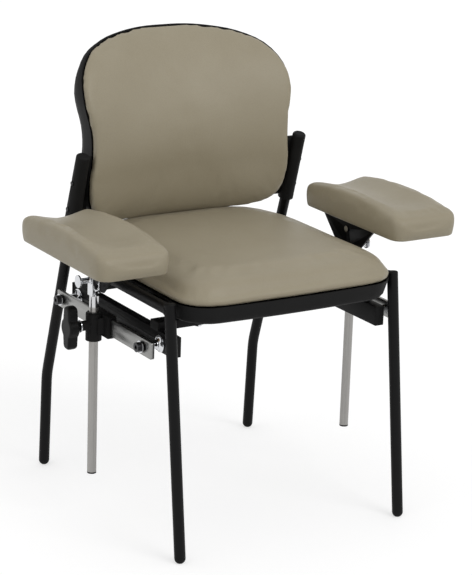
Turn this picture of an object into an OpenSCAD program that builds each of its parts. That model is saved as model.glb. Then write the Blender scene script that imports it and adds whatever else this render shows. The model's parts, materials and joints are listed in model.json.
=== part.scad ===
// Phlebotomy chair: a four leg tube frame with an upholstered seat and back, and a padded
// arm support on each side that slides on a rail, swivels, rises and tilts.
// Millimetres. +X is the sitter's left, +Y the back, +Z up. The origin is on the floor,
// midway between the four feet. Depths called _y are measured back from the front feet.

/* [Legs] */
// Outer diameter of the leg tubes
leg_d = 22.2; // [20:0.1:25]
// Wall of the leg tubes
leg_wall = 1.6; // [1:0.1:3]
// Space between the seat pan and the side rails
pan_side_gap = 3.4; // [2.6:0.1:6]
// Height of the front legs above the middle of the side rails
front_leg_over = 14; // [11:1:15]
// Backward lean of the front legs
front_lean = 7.2; // [5:0.1:8]
// Forward lean of the rear feet
foot_lean = 3; // [1:0.1:4]
// Forward lean of the uprights
upright_lean = 16.9; // [15.5:0.1:17.2]
// Height of the bend in the rear legs
bend_h = 205; // [180:1:240]
// Radius of that bend
bend_r = 140; // [100:1:180]
// Height of the uprights above the lower edge of the back
upright_reach = 151; // [142:1:154]
// Length that the glides and caps reach into a tube
plug_depth = 16; // [10:1:25]

/* [Seat] */
// Width of the seat pan
pan_w = 481; // [466:1:484]
// Depth of the seat pan
pan_depth = 510; // [500:1:512]
// Place of the pan's front edge behind the front feet
pan_front_y = 2; // [-6:1:8]
// How far the pan reaches behind the uprights at the height of the side rails
pan_rear_set = 26.5; // [20:0.5:32]
// Height of the pan from its underside to its rim
pan_h = 37; // [34:1:37]
// Wall of the pan
pan_wall = 3; // [2:0.5:4]
// Radius of the front corners
seat_front_r = 64; // [56:1:84]
// Radius of the rear corners
seat_rear_r = 125; // [90:1:135]
// Thickness of the plywood seat board
board_t = 12; // [9:1:14]
// Height of the cushion's edge above the pan
seat_edge_h = 54; // [44:1:54]
// Rise of the seat crown above its edge
seat_crown = 7; // [4:0.5:7]

/* [Seat frame] */
// Height of the middle of the side rails above the floor
side_rail_z = 489; // [488:0.5:489.5]
// Wall of the side rails
side_rail_wall = 1.6; // [1:0.1:3]
// Side of the square cross tubes
cross_tube = 20; // [18:1:20]
// Wall of the cross tubes
cross_tube_wall = 1.5; // [1:0.5:2.5]

/* [Arm support frame] */
// Width of the crossbars under the seat
crossbar_w = 30; // [26:1:34]
// Height of the crossbars
crossbar_h = 18; // [14:1:20]
// Place of the front crossbar
crossbar_y = 133; // [128:1:140]
// Width of the box tubes along the sides
box_w = 20.5; // [18:0.5:21]
// Height of the box tubes
box_h = 40; // [36:1:42]
// Space between the box tube's rear end and the middle of the upright behind it
box_rear_gap = 31.5; // [26:0.5:36]
// Place of the front end of the box tubes
box_front_y = 72; // [70:1:74]
// Wall of the box tubes and crossbars
box_wall = 2; // [1.5:0.5:3]
// Space between the crossbars and the pan
crossbar_gap = 13.9; // [13:0.1:17]
// Length of the trumpet shaped standoffs
standoff_len = 33.5; // [32:0.5:36]
// Diameter of a standoff where it meets the box tube
standoff_d = 34; // [28:1:36]
// Height of the accessory rail's section
rail_h = 33; // [30:1:35]
// Thickness of the accessory rail
rail_t = 7; // [6:0.5:9]
// Space between the rear ends of the rail and the box tube
rail_rear_gap = 12; // [8:1:20]
// Place of the front end of the rail
rail_front_y = 76; // [74:1:80]
// Distance from the rail's rear end to its rear bolt
rail_bolt_end = 18; // [14:1:24]

/* [Rail clamp] */
// Diameter of the post
post_d = 18.5; // [16:0.5:20]
// Wall of the post
post_wall = 2; // [1.5:0.5:3]
// Height of the lower end of the post
post_base_z = 100.5; // [60:0.5:140]
// Height of the clamp collar
collar_h = 55; // [50:1:60]
// Outer diameter of the clamp collar
collar_d = 32; // [31:0.5:34]
// Length of the clamp along the rail
clamp_len = 74; // [60:1:80]
// Running clearance of the post and its sleeve
running_fit = 0.05; // [0.02:0.01:0.08]
// Clearance of the clamp on the rail
rail_fit = 0.25; // [0.1:0.05:0.4]
// Length of the clamp knob over its two wings
knob_len = 88; // [80:1:92]
// Width of a wing's tip
knob_tip_d = 22; // [18:1:26]
// Diameter of the knob's middle
knob_hub_d = 41; // [36:1:44]
// Thickness of the knob
knob_t = 20; // [16:1:24]

/* [Tilting arm] */
// Distance from the pad's underside down to the tilt pivot
pivot_drop = 27.5; // [26.5:0.5:28.5]
// Distance from the pivot down to the lock stud
lock_drop = 35; // [34:0.5:37]
// Most the arm tilts down at its front
tilt_max = 12; // [8:1:14]
// Thickness of the bracket plate
bracket_t = 4; // [3:0.5:5]
// Length of the bracket along the pad
bracket_len = 192; // [170:1:210]
// Length of the lower edge of the bracket
bracket_foot = 38; // [36:1:44]
// Width of the bracket's flange under the pad
flange_w = 62; // [55:1:70]
// Width of the post head
head_w = 18; // [17:0.5:18.5]
// Depth of the post head
head_depth = 20; // [18:1:22]
// Width of the arm pad
pad_w = 157; // [150:1:159]
// Length of the arm pad
pad_len = 348; // [335:1:350]
// Thickness of the arm pad at its ends
pad_h = 44; // [38:1:46]
// Rise of the pad's rims from the ends to mid length
pad_arch = 23; // [12:1:26]
// Depth of the trough along the pad
trough_depth = 15; // [8:1:16]
// Height of the pad's underside above the box tube's underside
pad_over_box = 171.5; // [171:0.5:176]
// Space between the pad's rear end and the middle of the upright behind it
pad_rear_gap = 63.5; // [62:0.5:70]

/* [Back] */
// How far the back's sides stay inside the middle of the uprights
back_side_gap = 12; // [11:1:16]
// How far the back's lower edge lies below the top edge of the seat
back_drop = 4.2; // [-3:0.1:7]
// Height of the back
back_h = 383; // [360:1:400]
// Height of the lumbar point above the lower edge of the back
lumbar_rise = 165; // [150:1:180]
// How far the lumbar point at the middle lies behind the uprights
lumbar_set = 56.9; // [56:0.1:65]
// How far the top leans back from the lumbar point
back_lean = 88; // [60:1:95]
// How far the lower edge falls back from the lumbar point
back_tuck = 37; // [26:1:44]
// How far the sides wrap forward
back_wrap = 48; // [40:1:50]
// Depth of the shell at its sides
shell_side_depth = 50; // [42:1:52]
// Depth of the shell at its top edge
shell_top_depth = 10; // [8:1:14]
// Wall of the back shell
shell_wall = 3; // [2:0.5:4]
// Thickness of the back cushion at its edge
back_edge_t = 24; // [18:1:28]
// Rise of the back cushion's crown above its edge
back_crown = 18; // [10:1:22]
// Height of the closed ends of the back's sleeves above the uprights
sleeve_over = 10; // [8:1:16]
// Height of the lower end of the back's sleeves above the lower edge of the back
sleeve_low_rise = 14; // [9:1:21]
// Outer diameter of the back's sleeves at the top
sleeve_od = 28; // [27:0.5:30]
// Outer diameter of the back's sleeves at the lower end
sleeve_low_d = 33; // [31:0.5:35]

/* [Hidden] */

// Overrun of cuts
over = 1;
// Gap between fitted pieces that don't move
seat_gap = 0.1;
// Gap between sliding faces of the arm
slide_gap = 0.3;
// Space round a bolt in its hole
bolt_gap = 0.3;
// Roundness of turned pieces
turned_fn = 64;
fine_fn = 32;

frame_black = [0.11, 0.11, 0.12];
moulded_black = [0.14, 0.14, 0.15];
vinyl = [0.56, 0.53, 0.45];
steel = [0.72, 0.71, 0.69];
bright = [0.82, 0.83, 0.85];
ply = [0.74, 0.60, 0.42];
nylon = [0.25, 0.25, 0.26];

// Feet and legs
leg_r = leg_d / 2;
leg_x = pan_w / 2 + pan_side_gap + leg_r;
glide_flat_r = 5;
foot_z = sqrt(leg_r * leg_r - glide_flat_r * glide_flat_r);
// The feet stand as far apart as the pan's depth and the leans of the rear legs need
foot_depth = pan_front_y + pan_depth - pan_rear_set + (bend_h - foot_z) * tan(foot_lean)
    + (side_rail_z - bend_h) * tan(upright_lean);
front_y = -foot_depth / 2;
rear_y = foot_depth / 2;
front_leg_h = side_rail_z + front_leg_over;
cross_tube_z = side_rail_z - cross_tube / 2;
cross_tube_top_z = side_rail_z + cross_tube / 2;
board_z = cross_tube_top_z + seat_gap;
cushion_z = board_z + seat_gap;
pan_base_z = cross_tube_top_z - pan_h;
back_base_z = cushion_z + seat_edge_h - back_drop;
upright_h = back_base_z + upright_reach;
cap_h = 4;
cap_edge_r = 3.5;
front_tube_len = (front_leg_h - cap_h - foot_z) / cos(front_lean);
bend_turn = upright_lean - foot_lean;
// The tube draws in a little where it is bent
bend_thin = 0.05;
bend_lap = 1;
bend_tangent = bend_r * tan(bend_turn / 2);
lower_leg_len = (bend_h - foot_z) / cos(foot_lean) - bend_tangent;
bend_y = rear_y - (bend_h - foot_z) * tan(foot_lean);
upper_leg_len = (upright_h - bend_h) / cos(upright_lean) - bend_tangent;
function front_leg_y(z) = front_y + (z - foot_z) * tan(front_lean);
function upright_y(z) = bend_y - (z - bend_h) * tan(upright_lean);

// Arm support frame
box_shift = 0.6;
box_x = leg_x - leg_r - box_w / 2 + box_shift;
box_outer_x = box_x + box_w / 2;
box_base_z = pan_base_z - crossbar_gap - crossbar_h - seat_gap - box_h;
box_top_z = box_base_z + box_h;
box_y0 = front_y + box_front_y;
box_y1 = upright_y(box_base_z + box_h / 2) - box_rear_gap;
box_len = box_y1 - box_y0;
crossbar_front_y = front_y + crossbar_y;
crossbar_rear_y = box_y0 + box_y1 - crossbar_front_y;
crossbar_z = box_top_z + seat_gap;
crossbar_top_z = crossbar_z + crossbar_h;
crossbar_len = 2 * box_outer_x;
plug_t = 3;

// Seat pan, cross tubes and board
pan_rim_z = pan_base_z + pan_h;
pan_x = pan_w / 2;
pan_y0 = front_y + pan_front_y;
pan_y1 = pan_y0 + pan_depth;
pan_inset = 6;
pan_foot_r = 14;
seat_bow = 10;
seat_mid = [0, (pan_y0 + pan_y1) / 2];
notch_gap = 0.6;
board_top_z = board_z + board_t;
board_inset = 24;
pan_screw_d = 5;
pan_screw_head_d = 11;
pan_screw_head_h = 2;
pan_screw_reach = 8;
pan_screw_inset = 16;
pan_screw_x = pan_x - pan_foot_r - board_inset;
pan_screw_rear_x = pan_screw_x - seat_rear_r / 2;
pan_screw_front_y = pan_y0 + seat_front_r + board_inset / 2;
pan_screw_rear_y = pan_y1 - board_inset - pan_screw_inset;
pan_screw_places = [
    [-pan_screw_x, pan_screw_front_y], [pan_screw_x, pan_screw_front_y],
    [-pan_screw_x, seat_mid[1]], [pan_screw_x, seat_mid[1]],
    [-pan_screw_rear_x, pan_screw_rear_y], [pan_screw_rear_x, pan_screw_rear_y]
];
seat_screw_d = 6;
seat_screw_head_d = 12;
seat_screw_head_h = 3;
seat_screw_reach = 9;
seat_screw_inset = 60;
seat_screw_x = pan_x - seat_screw_inset;

// Bolts that hang the arm support frame
bolt_d = 8;
hanger_inset = 95;
hanger_x = box_outer_x - hanger_inset;
crossbar_ys = [crossbar_front_y, crossbar_rear_y];
hanger_places = [for (x = [-hanger_x, hanger_x]) for (y = crossbar_ys) [x, y]];
seat_screw_places = [for (x = [-seat_screw_x, seat_screw_x]) for (y = crossbar_ys) [x, y]];
hex_d = 15;
hex_h = 5.5;
spacer_d = 18;
spacer_z = crossbar_top_z + seat_gap;
spacer_top_z = cross_tube_z - seat_gap;
weld_nut_z = cross_tube_z + cross_tube_wall + seat_gap;
weld_nut_h = 6.5;
hanger_tip = 2;

// Accessory rail and its bolts
rail_drop = 2.5;
rail_bolt_inset = 36;
rail_in_x = box_outer_x + standoff_len + seat_gap;
rail_out_x = rail_in_x + rail_t;
rail_z = box_base_z + box_h / 2 - rail_drop;
rail_y0 = front_y + rail_front_y;
rail_len = box_y1 - rail_rear_gap - rail_y0;
rail_corner_r = 3;
rail_bolt_front_y = rail_y0 + rail_bolt_inset;
rail_bolt_ys = [rail_bolt_front_y, rail_y0 + rail_len - rail_bolt_end];
rail_collar_d = 18;
rail_collar_t = 3;
rail_washer_d = 24;
rail_washer_t = 2;
rail_washer_x = rail_out_x + rail_collar_t + 2 * seat_gap;
rail_head_x = rail_washer_x + rail_washer_t + seat_gap;
rail_head_d = 19;
rail_head_h = 8;
rail_bolt_reach = 8;
socket_d = 9;
socket_depth = 4.5;
standoff_neck_d = 17;

// Rail clamp
post_offset = 2.1;
collar_dip = 14;
clamp_wall = 5;
clamp_face_t = 6;
hook_depth = 8;
sleeve_wall = 2;
sleeve_lip_d = 27;
sleeve_lip_t = 2;
post_r = post_d / 2;
sleeve_r = post_r + running_fit + sleeve_wall;
post_x = rail_out_x + collar_d / 2 + post_offset;
pad_post_share = 0.638;
pad_base_z = box_base_z + pad_over_box;
pivot_z = pad_base_z - pivot_drop;
pad_y1 = upright_y(pad_base_z) - pad_rear_gap;
pad_y0 = pad_y1 - pad_len;
arm_y = pad_y0 + pad_len * pad_post_share;
collar_z = box_base_z - collar_dip;
collar_top_z = collar_z + collar_h;
clamp_face_x = rail_out_x + rail_fit + clamp_face_t;
rib_t = 4;
rib_reach = 17;
boss_d = 20;
boss_len = 30;
stud_z = rail_z;
stud_d = 8;
stud_washer_d = 25;
stud_washer_t = 2;
knob_neck_d = 18;
knob_neck_h = 8;
knob_edge_r = 6;
knob_neck_x = post_x + boss_len + stud_washer_t + 2 * slide_gap;
knob_x = knob_neck_x + knob_neck_h;
knob_tip_x = (knob_len - knob_tip_d) / 2;
stud_tip_share = 0.6;

// Post head and tilt pivot
head_drop = 67;
head_base_z = pivot_z - head_drop;
head_round_r = head_depth / 2;
head_spigot_len = 24;
post_tube_h = head_base_z - seat_gap - post_base_z;
post_plug_t = 3;
head_screw_d = 8;
head_screw_len = 6;
head_screw_z = head_base_z + head_depth;
plate_x = post_x - head_w / 2 - slide_gap;
plate_in_x = plate_x - bracket_t;
lock_z = pivot_z - lock_drop;
lock_stud_d = 8;
lock_nut_t = 6;
lock_nut_d = 15;
slot_spare = 2;
slot_gap = 0.6;
plate_foot_drop = 59;
plate_end_h = 4;
pivot_head_d = 13;
pivot_head_h = 5;
pivot_nut_h = 5;
spool_disc_d = 25;
spool_disc_t = 3;
spool_neck_d = 11;
spool_foot_d = 18;
spool_foot_rim = 1.5;
spool_len = 27;

// Arm pad
flange_gap = 0.2;
pad_offset = 27.6;
pad_board_t = 9;
pad_board_inset = 14;
pad_corner_r = 24;
pad_board_r = 12;
pad_inset = 4;
pad_edge_r = 12;
flange_z = pad_base_z - bracket_t - flange_gap;
pad_x = post_x + pad_offset;
pad_mid = [0, (pad_y0 + pad_y1) / 2];
pad_screw_d = 5;
pad_screw_head_d = 10;
pad_screw_head_h = 2.5;
pad_screw_len = 12;
pad_screw_inset = 16;
pad_screw_places = [for (x = [plate_x + pad_screw_inset, plate_in_x + flange_w - pad_screw_inset / 2])
    for (s = [-1, 1]) [x, arm_y + s * (bracket_len / 2 - pad_screw_inset)]];

// Back
back_x = leg_x - back_side_gap;
back_top_z = back_base_z + back_h;
lumbar_z = back_base_z + lumbar_rise;
sleeve_top_z = upright_h + sleeve_over;
sleeve_low_z = back_base_z + sleeve_low_rise;
back_mid = [0, 0.5];
back_mid_z = back_base_z + back_h * back_mid[1];
shell_round = 6;
shell_fade_end_share = 0.97;
shell_fade_share = 0.27;
panel_t = 5;
panel_inset = 12;
back_round = 30;
back_tuck_in = 2;
back_swell = 1;
sleeve_cap_r = 5;
web_t = 8;
web_edge_share = 0.9568;
low_web_edge_share = 0.926;
web_w = leg_x - back_x * web_edge_share;
low_web_w = leg_x - back_x * low_web_edge_share;
web_end = 6;
web_back = 8;
low_web_h = 82;
sleeve_len = (sleeve_top_z - sleeve_low_z) / cos(upright_lean);
back_screw_d = 5;
back_screw_head_d = 9;
back_screw_head_h = 2.4;
back_screw_reach = 5;
back_screw_inset = 30;
back_screw_zs = [sleeve_low_z + back_screw_inset, sleeve_top_z - 2 * back_screw_inset];

// Outer radius of the tapered sleeve, and the place of a screw head in it
function back_sleeve_r(z) =
    (sleeve_low_d + (sleeve_od - sleeve_low_d) * (z - sleeve_low_z) / (sleeve_top_z - sleeve_low_z)) / 2;
function back_screw_seat_x(z) = leg_x + back_sleeve_r(z) - back_screw_head_h / 2;

// Halves of the upholstered back's outline, from the middle of the lower edge to the middle
// of the top: shares of the half width and of the height
back_outline_shares = [
    [0, 0], [0.42, 0.009], [0.70, 0.026], [0.87, 0.07], [0.95, 0.163], [0.965, 0.291],
    [0.945, 0.419], [0.955, 0.537], [0.995, 0.665], [0.978, 0.793], [0.86, 0.897],
    [0.66, 0.956], [0.44, 0.984], [0.22, 0.998], [0, 1]
];

// Point on a smooth curve through four points, between the middle two
function curve_point(a, b, c, d, t) =
    0.5 * (2 * b + (c - a) * t + (2 * a - 5 * b + 4 * c - d) * t * t
    + (3 * b - a - 3 * c + d) * t * t * t);

// Right half of the outline, with steps points between table points
function half_outline(steps) = let (
    s = back_outline_shares,
    last = len(s) - 1,
    before = [-s[1][0], s[1][1]],
    after = [-s[last - 1][0], s[last - 1][1]],
    p = concat([before], s, [after])
) [for (i = [1:last]) for (k = [0:steps - 1]) curve_point(p[i - 1], p[i], p[i + 1], p[i + 2], k / steps)];

back_steps = 3;
back_right = half_outline(back_steps);
back_left = [for (i = [len(back_right) - 1:-1:1]) [-back_right[i][0], back_right[i][1]]];
back_loop = concat(back_right, [[0, 1]], back_left);

// Skin through a stack of rings of equal count, closed by a point at each end; flip turns the
// diagonals of its faces the other way
module ring_skin(rings, first, last, flip = false) {
    n = len(rings[0]);
    m = len(rings);
    points = concat([first], [for (ring = rings) each ring], [last]);
    end = len(points) - 1;
    faces = concat(
        [for (i = [0:n - 1]) [0, 1 + i, 1 + (i + 1) % n]],
        [for (k = [0:m - 2]) for (i = [0:n - 1]) let (
            a = 1 + k * n + i,
            b = 1 + k * n + (i + 1) % n,
            c = a + n,
            d = b + n
        ) each (flip ? [[a, c, b], [b, c, d]] : [[a, d, b], [a, c, d]])],
        [for (i = [0:n - 1]) [end, 1 + (m - 1) * n + (i + 1) % n, 1 + (m - 1) * n + i]]
    );
    polyhedron(points, faces, convexity = 6);
}

// Points of one round corner, turning a quarter from the angle start
corner_steps = 6;
function corner(x, y, r, start) = [for (k = [0:corner_steps])
    [x + r * cos(start + 90 * k / corner_steps), y + r * sin(start + 90 * k / corner_steps)]];

// Points between two corners
edge_steps = 4;
function edge(a, b) = [for (k = [1:edge_steps]) a + (b - a) * k / (edge_steps + 1)];

// Rounded outline with its own front and rear corner radii
function round_loop(half, y0, y1, front_r, rear_r) = let (
    a = corner(half - front_r, y0 + front_r, front_r, -90),
    b = corner(half - rear_r, y1 - rear_r, rear_r, 0),
    c = corner(-half + rear_r, y1 - rear_r, rear_r, 90),
    d = corner(-half + front_r, y0 + front_r, front_r, 180),
    n = corner_steps
) concat(a, edge(a[n], b[0]), b, edge(b[n], c[0]), c, edge(c[n], d[0]), d, edge(d[n], a[0]));

function scaled_ring(ring, mid, s) = [for (p = ring) mid + (p - mid) * s];

// Tube along Z, open at both ends
module pipe(r, wall, h) {
    difference() {
        cylinder(r = r, h = h, $fn = turned_fn);
        translate([0, 0, -over]) cylinder(r = r - wall, h = h + 2 * over, $fn = turned_fn);
    }
}

module both_sides() {
    children();
    mirror([1, 0, 0]) children();
}

// Axis along +X from the given point
module along_x(x, y, z) {
    translate([x, y, z]) rotate([0, 90, 0]) children();
}

module bolt_shank(d, h) {
    cylinder(d = d, h = h, $fn = fine_fn);
}

module front_leg_place() {
    translate([leg_x, front_y, foot_z]) rotate([-front_lean, 0, 0]) children();
}

module rear_leg_place() {
    translate([leg_x, rear_y, foot_z]) rotate([foot_lean, 0, 0]) children();
}

module front_legs() {
    color(frame_black) both_sides() front_leg_place() pipe(leg_r, leg_wall, front_tube_len);
}

// Domed cap with a spigot in the tube
module front_leg_caps() {
    color(moulded_black) both_sides() front_leg_place() translate([0, 0, front_tube_len])
        rotate_extrude($fn = turned_fn) leg_cap_half();
}

module leg_cap_half() {
    intersection() {
        translate([0, -plug_depth]) square([leg_r - leg_wall - seat_gap, plug_depth + cap_h]);
        translate([0, -plug_depth]) square([leg_r, plug_depth + 2 * seat_gap]);
    }
    translate([0, seat_gap]) intersection() {
        union() {
            square([leg_r - cap_edge_r, cap_h]);
            square([leg_r, cap_h - cap_edge_r]);
            translate([leg_r - cap_edge_r, cap_h - cap_edge_r]) circle(r = cap_edge_r, $fn = turned_fn);
        }
        square([leg_r, cap_h]);
    }
}

// Rear leg path: straight foot, bend, straight upright
module rear_leg_sweep(r, extra) {
    translate([0, 0, -extra]) cylinder(r = r, h = lower_leg_len + extra, $fn = turned_fn);
    translate([0, -bend_r, lower_leg_len]) {
        rotate([90, 0, 90]) rotate([0, 0, -bend_lap])
            rotate_extrude(angle = bend_turn + 2 * bend_lap, $fn = turned_fn)
                translate([bend_r, 0]) circle(r = r - bend_thin, $fn = turned_fn);
        rotate([bend_turn, 0, 0]) translate([0, bend_r, 0])
            cylinder(r = r, h = upper_leg_len + extra, $fn = turned_fn);
    }
}

module rear_uprights() {
    color(frame_black) both_sides() difference() {
        rear_leg_place() rear_leg_sweep(leg_r, 0);
        rear_leg_place() rear_leg_sweep(leg_r - leg_wall, over);
        for (z = back_screw_zs) along_x(leg_x, upright_y(z), z)
            cylinder(d = back_screw_d + 2 * seat_gap, h = leg_d, $fn = fine_fn);
    }
}

// Ball shaped foot with a small flat face on the floor, and a spigot in the tube
module foot_glide(lean) {
    difference() {
        rotate([lean, 0, 0]) rotate_extrude($fn = turned_fn) {
            intersection() {
                circle(r = leg_r, $fn = turned_fn);
                translate([0, -leg_d]) square([leg_d, leg_d - seat_gap]);
            }
            translate([0, -leg_r / 2]) square([leg_r - leg_wall - seat_gap, plug_depth + leg_r / 2]);
        }
        translate([-leg_d, -leg_d, -foot_z - leg_d]) cube([2 * leg_d, 2 * leg_d, leg_d]);
    }
}

module foot_glides() {
    color(moulded_black) both_sides() {
        translate([leg_x, front_y, foot_z]) foot_glide(-front_lean);
        translate([leg_x, rear_y, foot_z]) foot_glide(foot_lean);
    }
}

// Round rails at seat height, coped to the legs at both ends
module side_rails() {
    y0 = front_leg_y(side_rail_z);
    y1 = upright_y(side_rail_z);
    color(frame_black) both_sides() difference() {
        translate([leg_x, y0, side_rail_z]) rotate([-90, 0, 0]) pipe(leg_r, side_rail_wall, y1 - y0);
        translate([leg_x, front_leg_y(0), 0]) rotate([-front_lean, 0, 0])
            cylinder(r = leg_r + seat_gap, h = 2 * side_rail_z, $fn = turned_fn);
        translate([leg_x, upright_y(0), 0]) rotate([upright_lean, 0, 0])
            cylinder(r = leg_r + seat_gap, h = 2 * side_rail_z, $fn = turned_fn);
    }
}

// Rectangular tube along X, centred, resting on z = 0
module bar_tube(w, h, len, wall) {
    translate([0, 0, h / 2]) difference() {
        cube([len, w, h], center = true);
        cube([len + 2 * over, w - 2 * wall, h - 2 * wall], center = true);
    }
}

module holes(places, d, z0, z1) {
    for (p = places) translate([p[0], p[1], z0 - over])
        cylinder(d = d, h = z1 - z0 + 2 * over, $fn = fine_fn);
}

module cross_tubes() {
    color(frame_black) difference() {
        for (y = crossbar_ys) translate([0, y, cross_tube_z])
            bar_tube(cross_tube, cross_tube, 2 * leg_x, cross_tube_wall);
        both_sides() translate([leg_x, crossbar_front_y - cross_tube, side_rail_z]) rotate([-90, 0, 0])
            cylinder(r = leg_r + seat_gap, h = crossbar_rear_y - crossbar_front_y + 2 * cross_tube,
                $fn = turned_fn);
        both_sides() translate([leg_x, 0, side_rail_z])
            cube([leg_d, foot_depth, leg_d], center = true);
        holes(hanger_places, bolt_d + 2 * bolt_gap, cross_tube_z, cross_tube_z + cross_tube_wall);
        holes(seat_screw_places, seat_screw_d + 2 * bolt_gap, cross_tube_z, cross_tube_top_z);
    }
}

module arm_crossbars() {
    color(frame_black) difference() {
        for (y = crossbar_ys) translate([0, y, crossbar_z])
            bar_tube(crossbar_w, crossbar_h, crossbar_len, box_wall);
        holes(hanger_places, bolt_d + 2 * bolt_gap, crossbar_z, crossbar_top_z);
    }
}

// Plate and spigot that close the end of a rectangular tube, facing +X
module tube_plug(w, h) {
    inner_w = w - 2 * box_wall - 2 * seat_gap;
    inner_h = h - 2 * box_wall - 2 * seat_gap;
    translate([seat_gap, -w / 2, -h / 2]) cube([plug_t, w, h]);
    translate([-plug_depth, -inner_w / 2, -inner_h / 2]) cube([plug_depth + plug_t, inner_w, inner_h]);
}

module crossbar_plugs() {
    color(moulded_black) both_sides() for (y = crossbar_ys)
        translate([box_outer_x, y, crossbar_z + crossbar_h / 2]) tube_plug(crossbar_w, crossbar_h);
}

module crossbar_spacers() {
    color(nylon) for (p = hanger_places) translate([p[0], p[1], spacer_z])
        pipe(spacer_d / 2, spacer_d / 2 - bolt_d / 2 - bolt_gap, spacer_top_z - spacer_z);
}

// Hexagon bolts up through crossbar and spacer into the nuts welded in the cross tubes
module hanger_bolts() {
    color(bright) for (p = hanger_places) translate([p[0], p[1], crossbar_z - seat_gap]) {
        translate([0, 0, -hex_h]) cylinder(d = hex_d, h = hex_h, $fn = 6);
        translate([0, 0, -hex_h / 2])
            bolt_shank(bolt_d, weld_nut_z + weld_nut_h + hanger_tip - crossbar_z + hex_h / 2);
    }
}

module weld_nuts() {
    color(steel) for (p = hanger_places) translate([p[0], p[1], weld_nut_z]) difference() {
        cylinder(d = hex_d, h = weld_nut_h, $fn = 6);
        translate([0, 0, -over])
            cylinder(d = bolt_d + 2 * running_fit, h = weld_nut_h + 2 * over, $fn = fine_fn);
    }
}

module box_tubes() {
    color(frame_black) both_sides() difference() {
        translate([box_x - box_w / 2, box_y0, box_base_z]) cube([box_w, box_len, box_h]);
        translate([box_x - box_w / 2 + box_wall, box_y0 - over, box_base_z + box_wall])
            cube([box_w - 2 * box_wall, box_len + 2 * over, box_h - 2 * box_wall]);
        for (y = rail_bolt_ys) along_x(box_x, y, rail_z)
            cylinder(d = bolt_d + 2 * running_fit, h = box_w, $fn = fine_fn);
    }
}

module box_tube_plugs() {
    color(moulded_black) both_sides() {
        translate([box_x, box_y0, box_base_z + box_h / 2]) rotate([0, 0, -90]) tube_plug(box_w, box_h);
        translate([box_x, box_y1, box_base_z + box_h / 2]) rotate([0, 0, 90]) tube_plug(box_w, box_h);
    }
}

// Trumpet profile, wide at the box tube and narrow at the rail
module standoff_half() {
    foot = standoff_d / 2;
    neck = standoff_neck_d / 2;
    flare = foot - neck;
    foot_t = flare / 3;
    bore = bolt_d / 2 + bolt_gap;
    difference() {
        translate([bore, 0]) square([foot - bore, standoff_len]);
        translate([foot, foot_t + flare]) circle(r = flare, $fn = turned_fn);
        translate([neck, foot_t + flare]) square([foot, standoff_len]);
    }
}

module rail_standoffs() {
    color(bright) both_sides() for (y = rail_bolt_ys) along_x(box_outer_x + seat_gap / 2, y, rail_z)
        rotate_extrude($fn = turned_fn) standoff_half();
}

module accessory_rails() {
    r = rail_corner_r;
    low_z = rail_z - rail_h / 2;
    color(steel) both_sides() difference() {
        union() {
            translate([rail_in_x, rail_y0 + r, low_z]) cube([rail_t, rail_len - 2 * r, rail_h]);
            translate([rail_in_x, rail_y0, low_z + r]) cube([rail_t, rail_len, rail_h - 2 * r]);
            for (y = [rail_y0 + r, rail_y0 + rail_len - r]) for (z = [r, rail_h - r])
                along_x(rail_in_x, y, low_z + z) cylinder(r = r, h = rail_t, $fn = fine_fn);
        }
        for (y = rail_bolt_ys) along_x(rail_in_x - over, y, rail_z)
            cylinder(d = bolt_d + 2 * bolt_gap, h = rail_t + 2 * over, $fn = fine_fn);
    }
}

module rail_ring(x, d, t) {
    both_sides() for (y = rail_bolt_ys) along_x(x, y, rail_z)
        pipe(d / 2, d / 2 - bolt_d / 2 - bolt_gap, t);
}

module rail_collars() {
    color(moulded_black) rail_ring(rail_out_x + seat_gap, rail_collar_d, rail_collar_t);
}

module rail_washers() {
    color(bright) rail_ring(rail_washer_x, rail_washer_d, rail_washer_t);
}

module rail_bolts() {
    reach = rail_head_x - box_outer_x + rail_bolt_reach;
    color(frame_black) both_sides() for (y = rail_bolt_ys) along_x(rail_head_x, y, rail_z) difference() {
        union() {
            cylinder(d = rail_head_d, h = rail_head_h, $fn = turned_fn);
            translate([0, 0, -reach]) bolt_shank(bolt_d, reach + rail_head_h / 2);
        }
        translate([0, 0, rail_head_h - socket_depth]) cylinder(d = socket_d, h = socket_depth + over, $fn = 6);
    }
}

// Seat outline drawn in by d, bowed along the front
function seat_loop(d) = let (
    ring = round_loop(pan_x - d, pan_y0 + d, pan_y1 - d, seat_front_r - d * 0.6, seat_rear_r - d * 0.6)
) [for (p = ring) [p[0], p[1] + seat_bow * pow(p[0] / pan_x, 2) * (pan_y1 - p[1]) / pan_depth]];

function lift(ring, z) = [for (p = ring) [p[0], p[1], z]];

// Moulded tray: flat base, rounded foot, drawn in side wall
module pan_skin() {
    floor_z = pan_base_z + pan_wall;
    foot = seat_loop(pan_inset + pan_foot_r);
    ring_skin(
        concat(
            [lift(scaled_ring(foot, seat_mid, 0.5), pan_base_z)],
            [for (a = [0:30:90]) lift(
                seat_loop(pan_inset + pan_foot_r * (1 - sin(a))), pan_base_z + pan_foot_r * (1 - cos(a)))],
            [lift(seat_loop(0), pan_rim_z)],
            [lift(seat_loop(pan_wall), pan_rim_z)],
            [lift(seat_loop(pan_inset + pan_wall), pan_base_z + pan_foot_r)],
            [lift(foot, floor_z)],
            [lift(scaled_ring(foot, seat_mid, 0.5), floor_z)]
        ),
        [0, seat_mid[1], pan_base_z], [0, seat_mid[1], floor_z]
    );
}

module seat_pan() {
    color(moulded_black) difference() {
        pan_skin();
        for (y = crossbar_ys)
            translate([-leg_x, y - cross_tube / 2 - notch_gap, cross_tube_z - notch_gap])
                cube([2 * leg_x, cross_tube + 2 * notch_gap, 2 * cross_tube]);
        holes(hanger_places, spacer_d + 2 * notch_gap, pan_base_z, pan_base_z + pan_wall);
        holes(pan_screw_places, pan_screw_d + 2 * seat_gap, pan_base_z, pan_base_z + pan_wall);
    }
}

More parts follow.
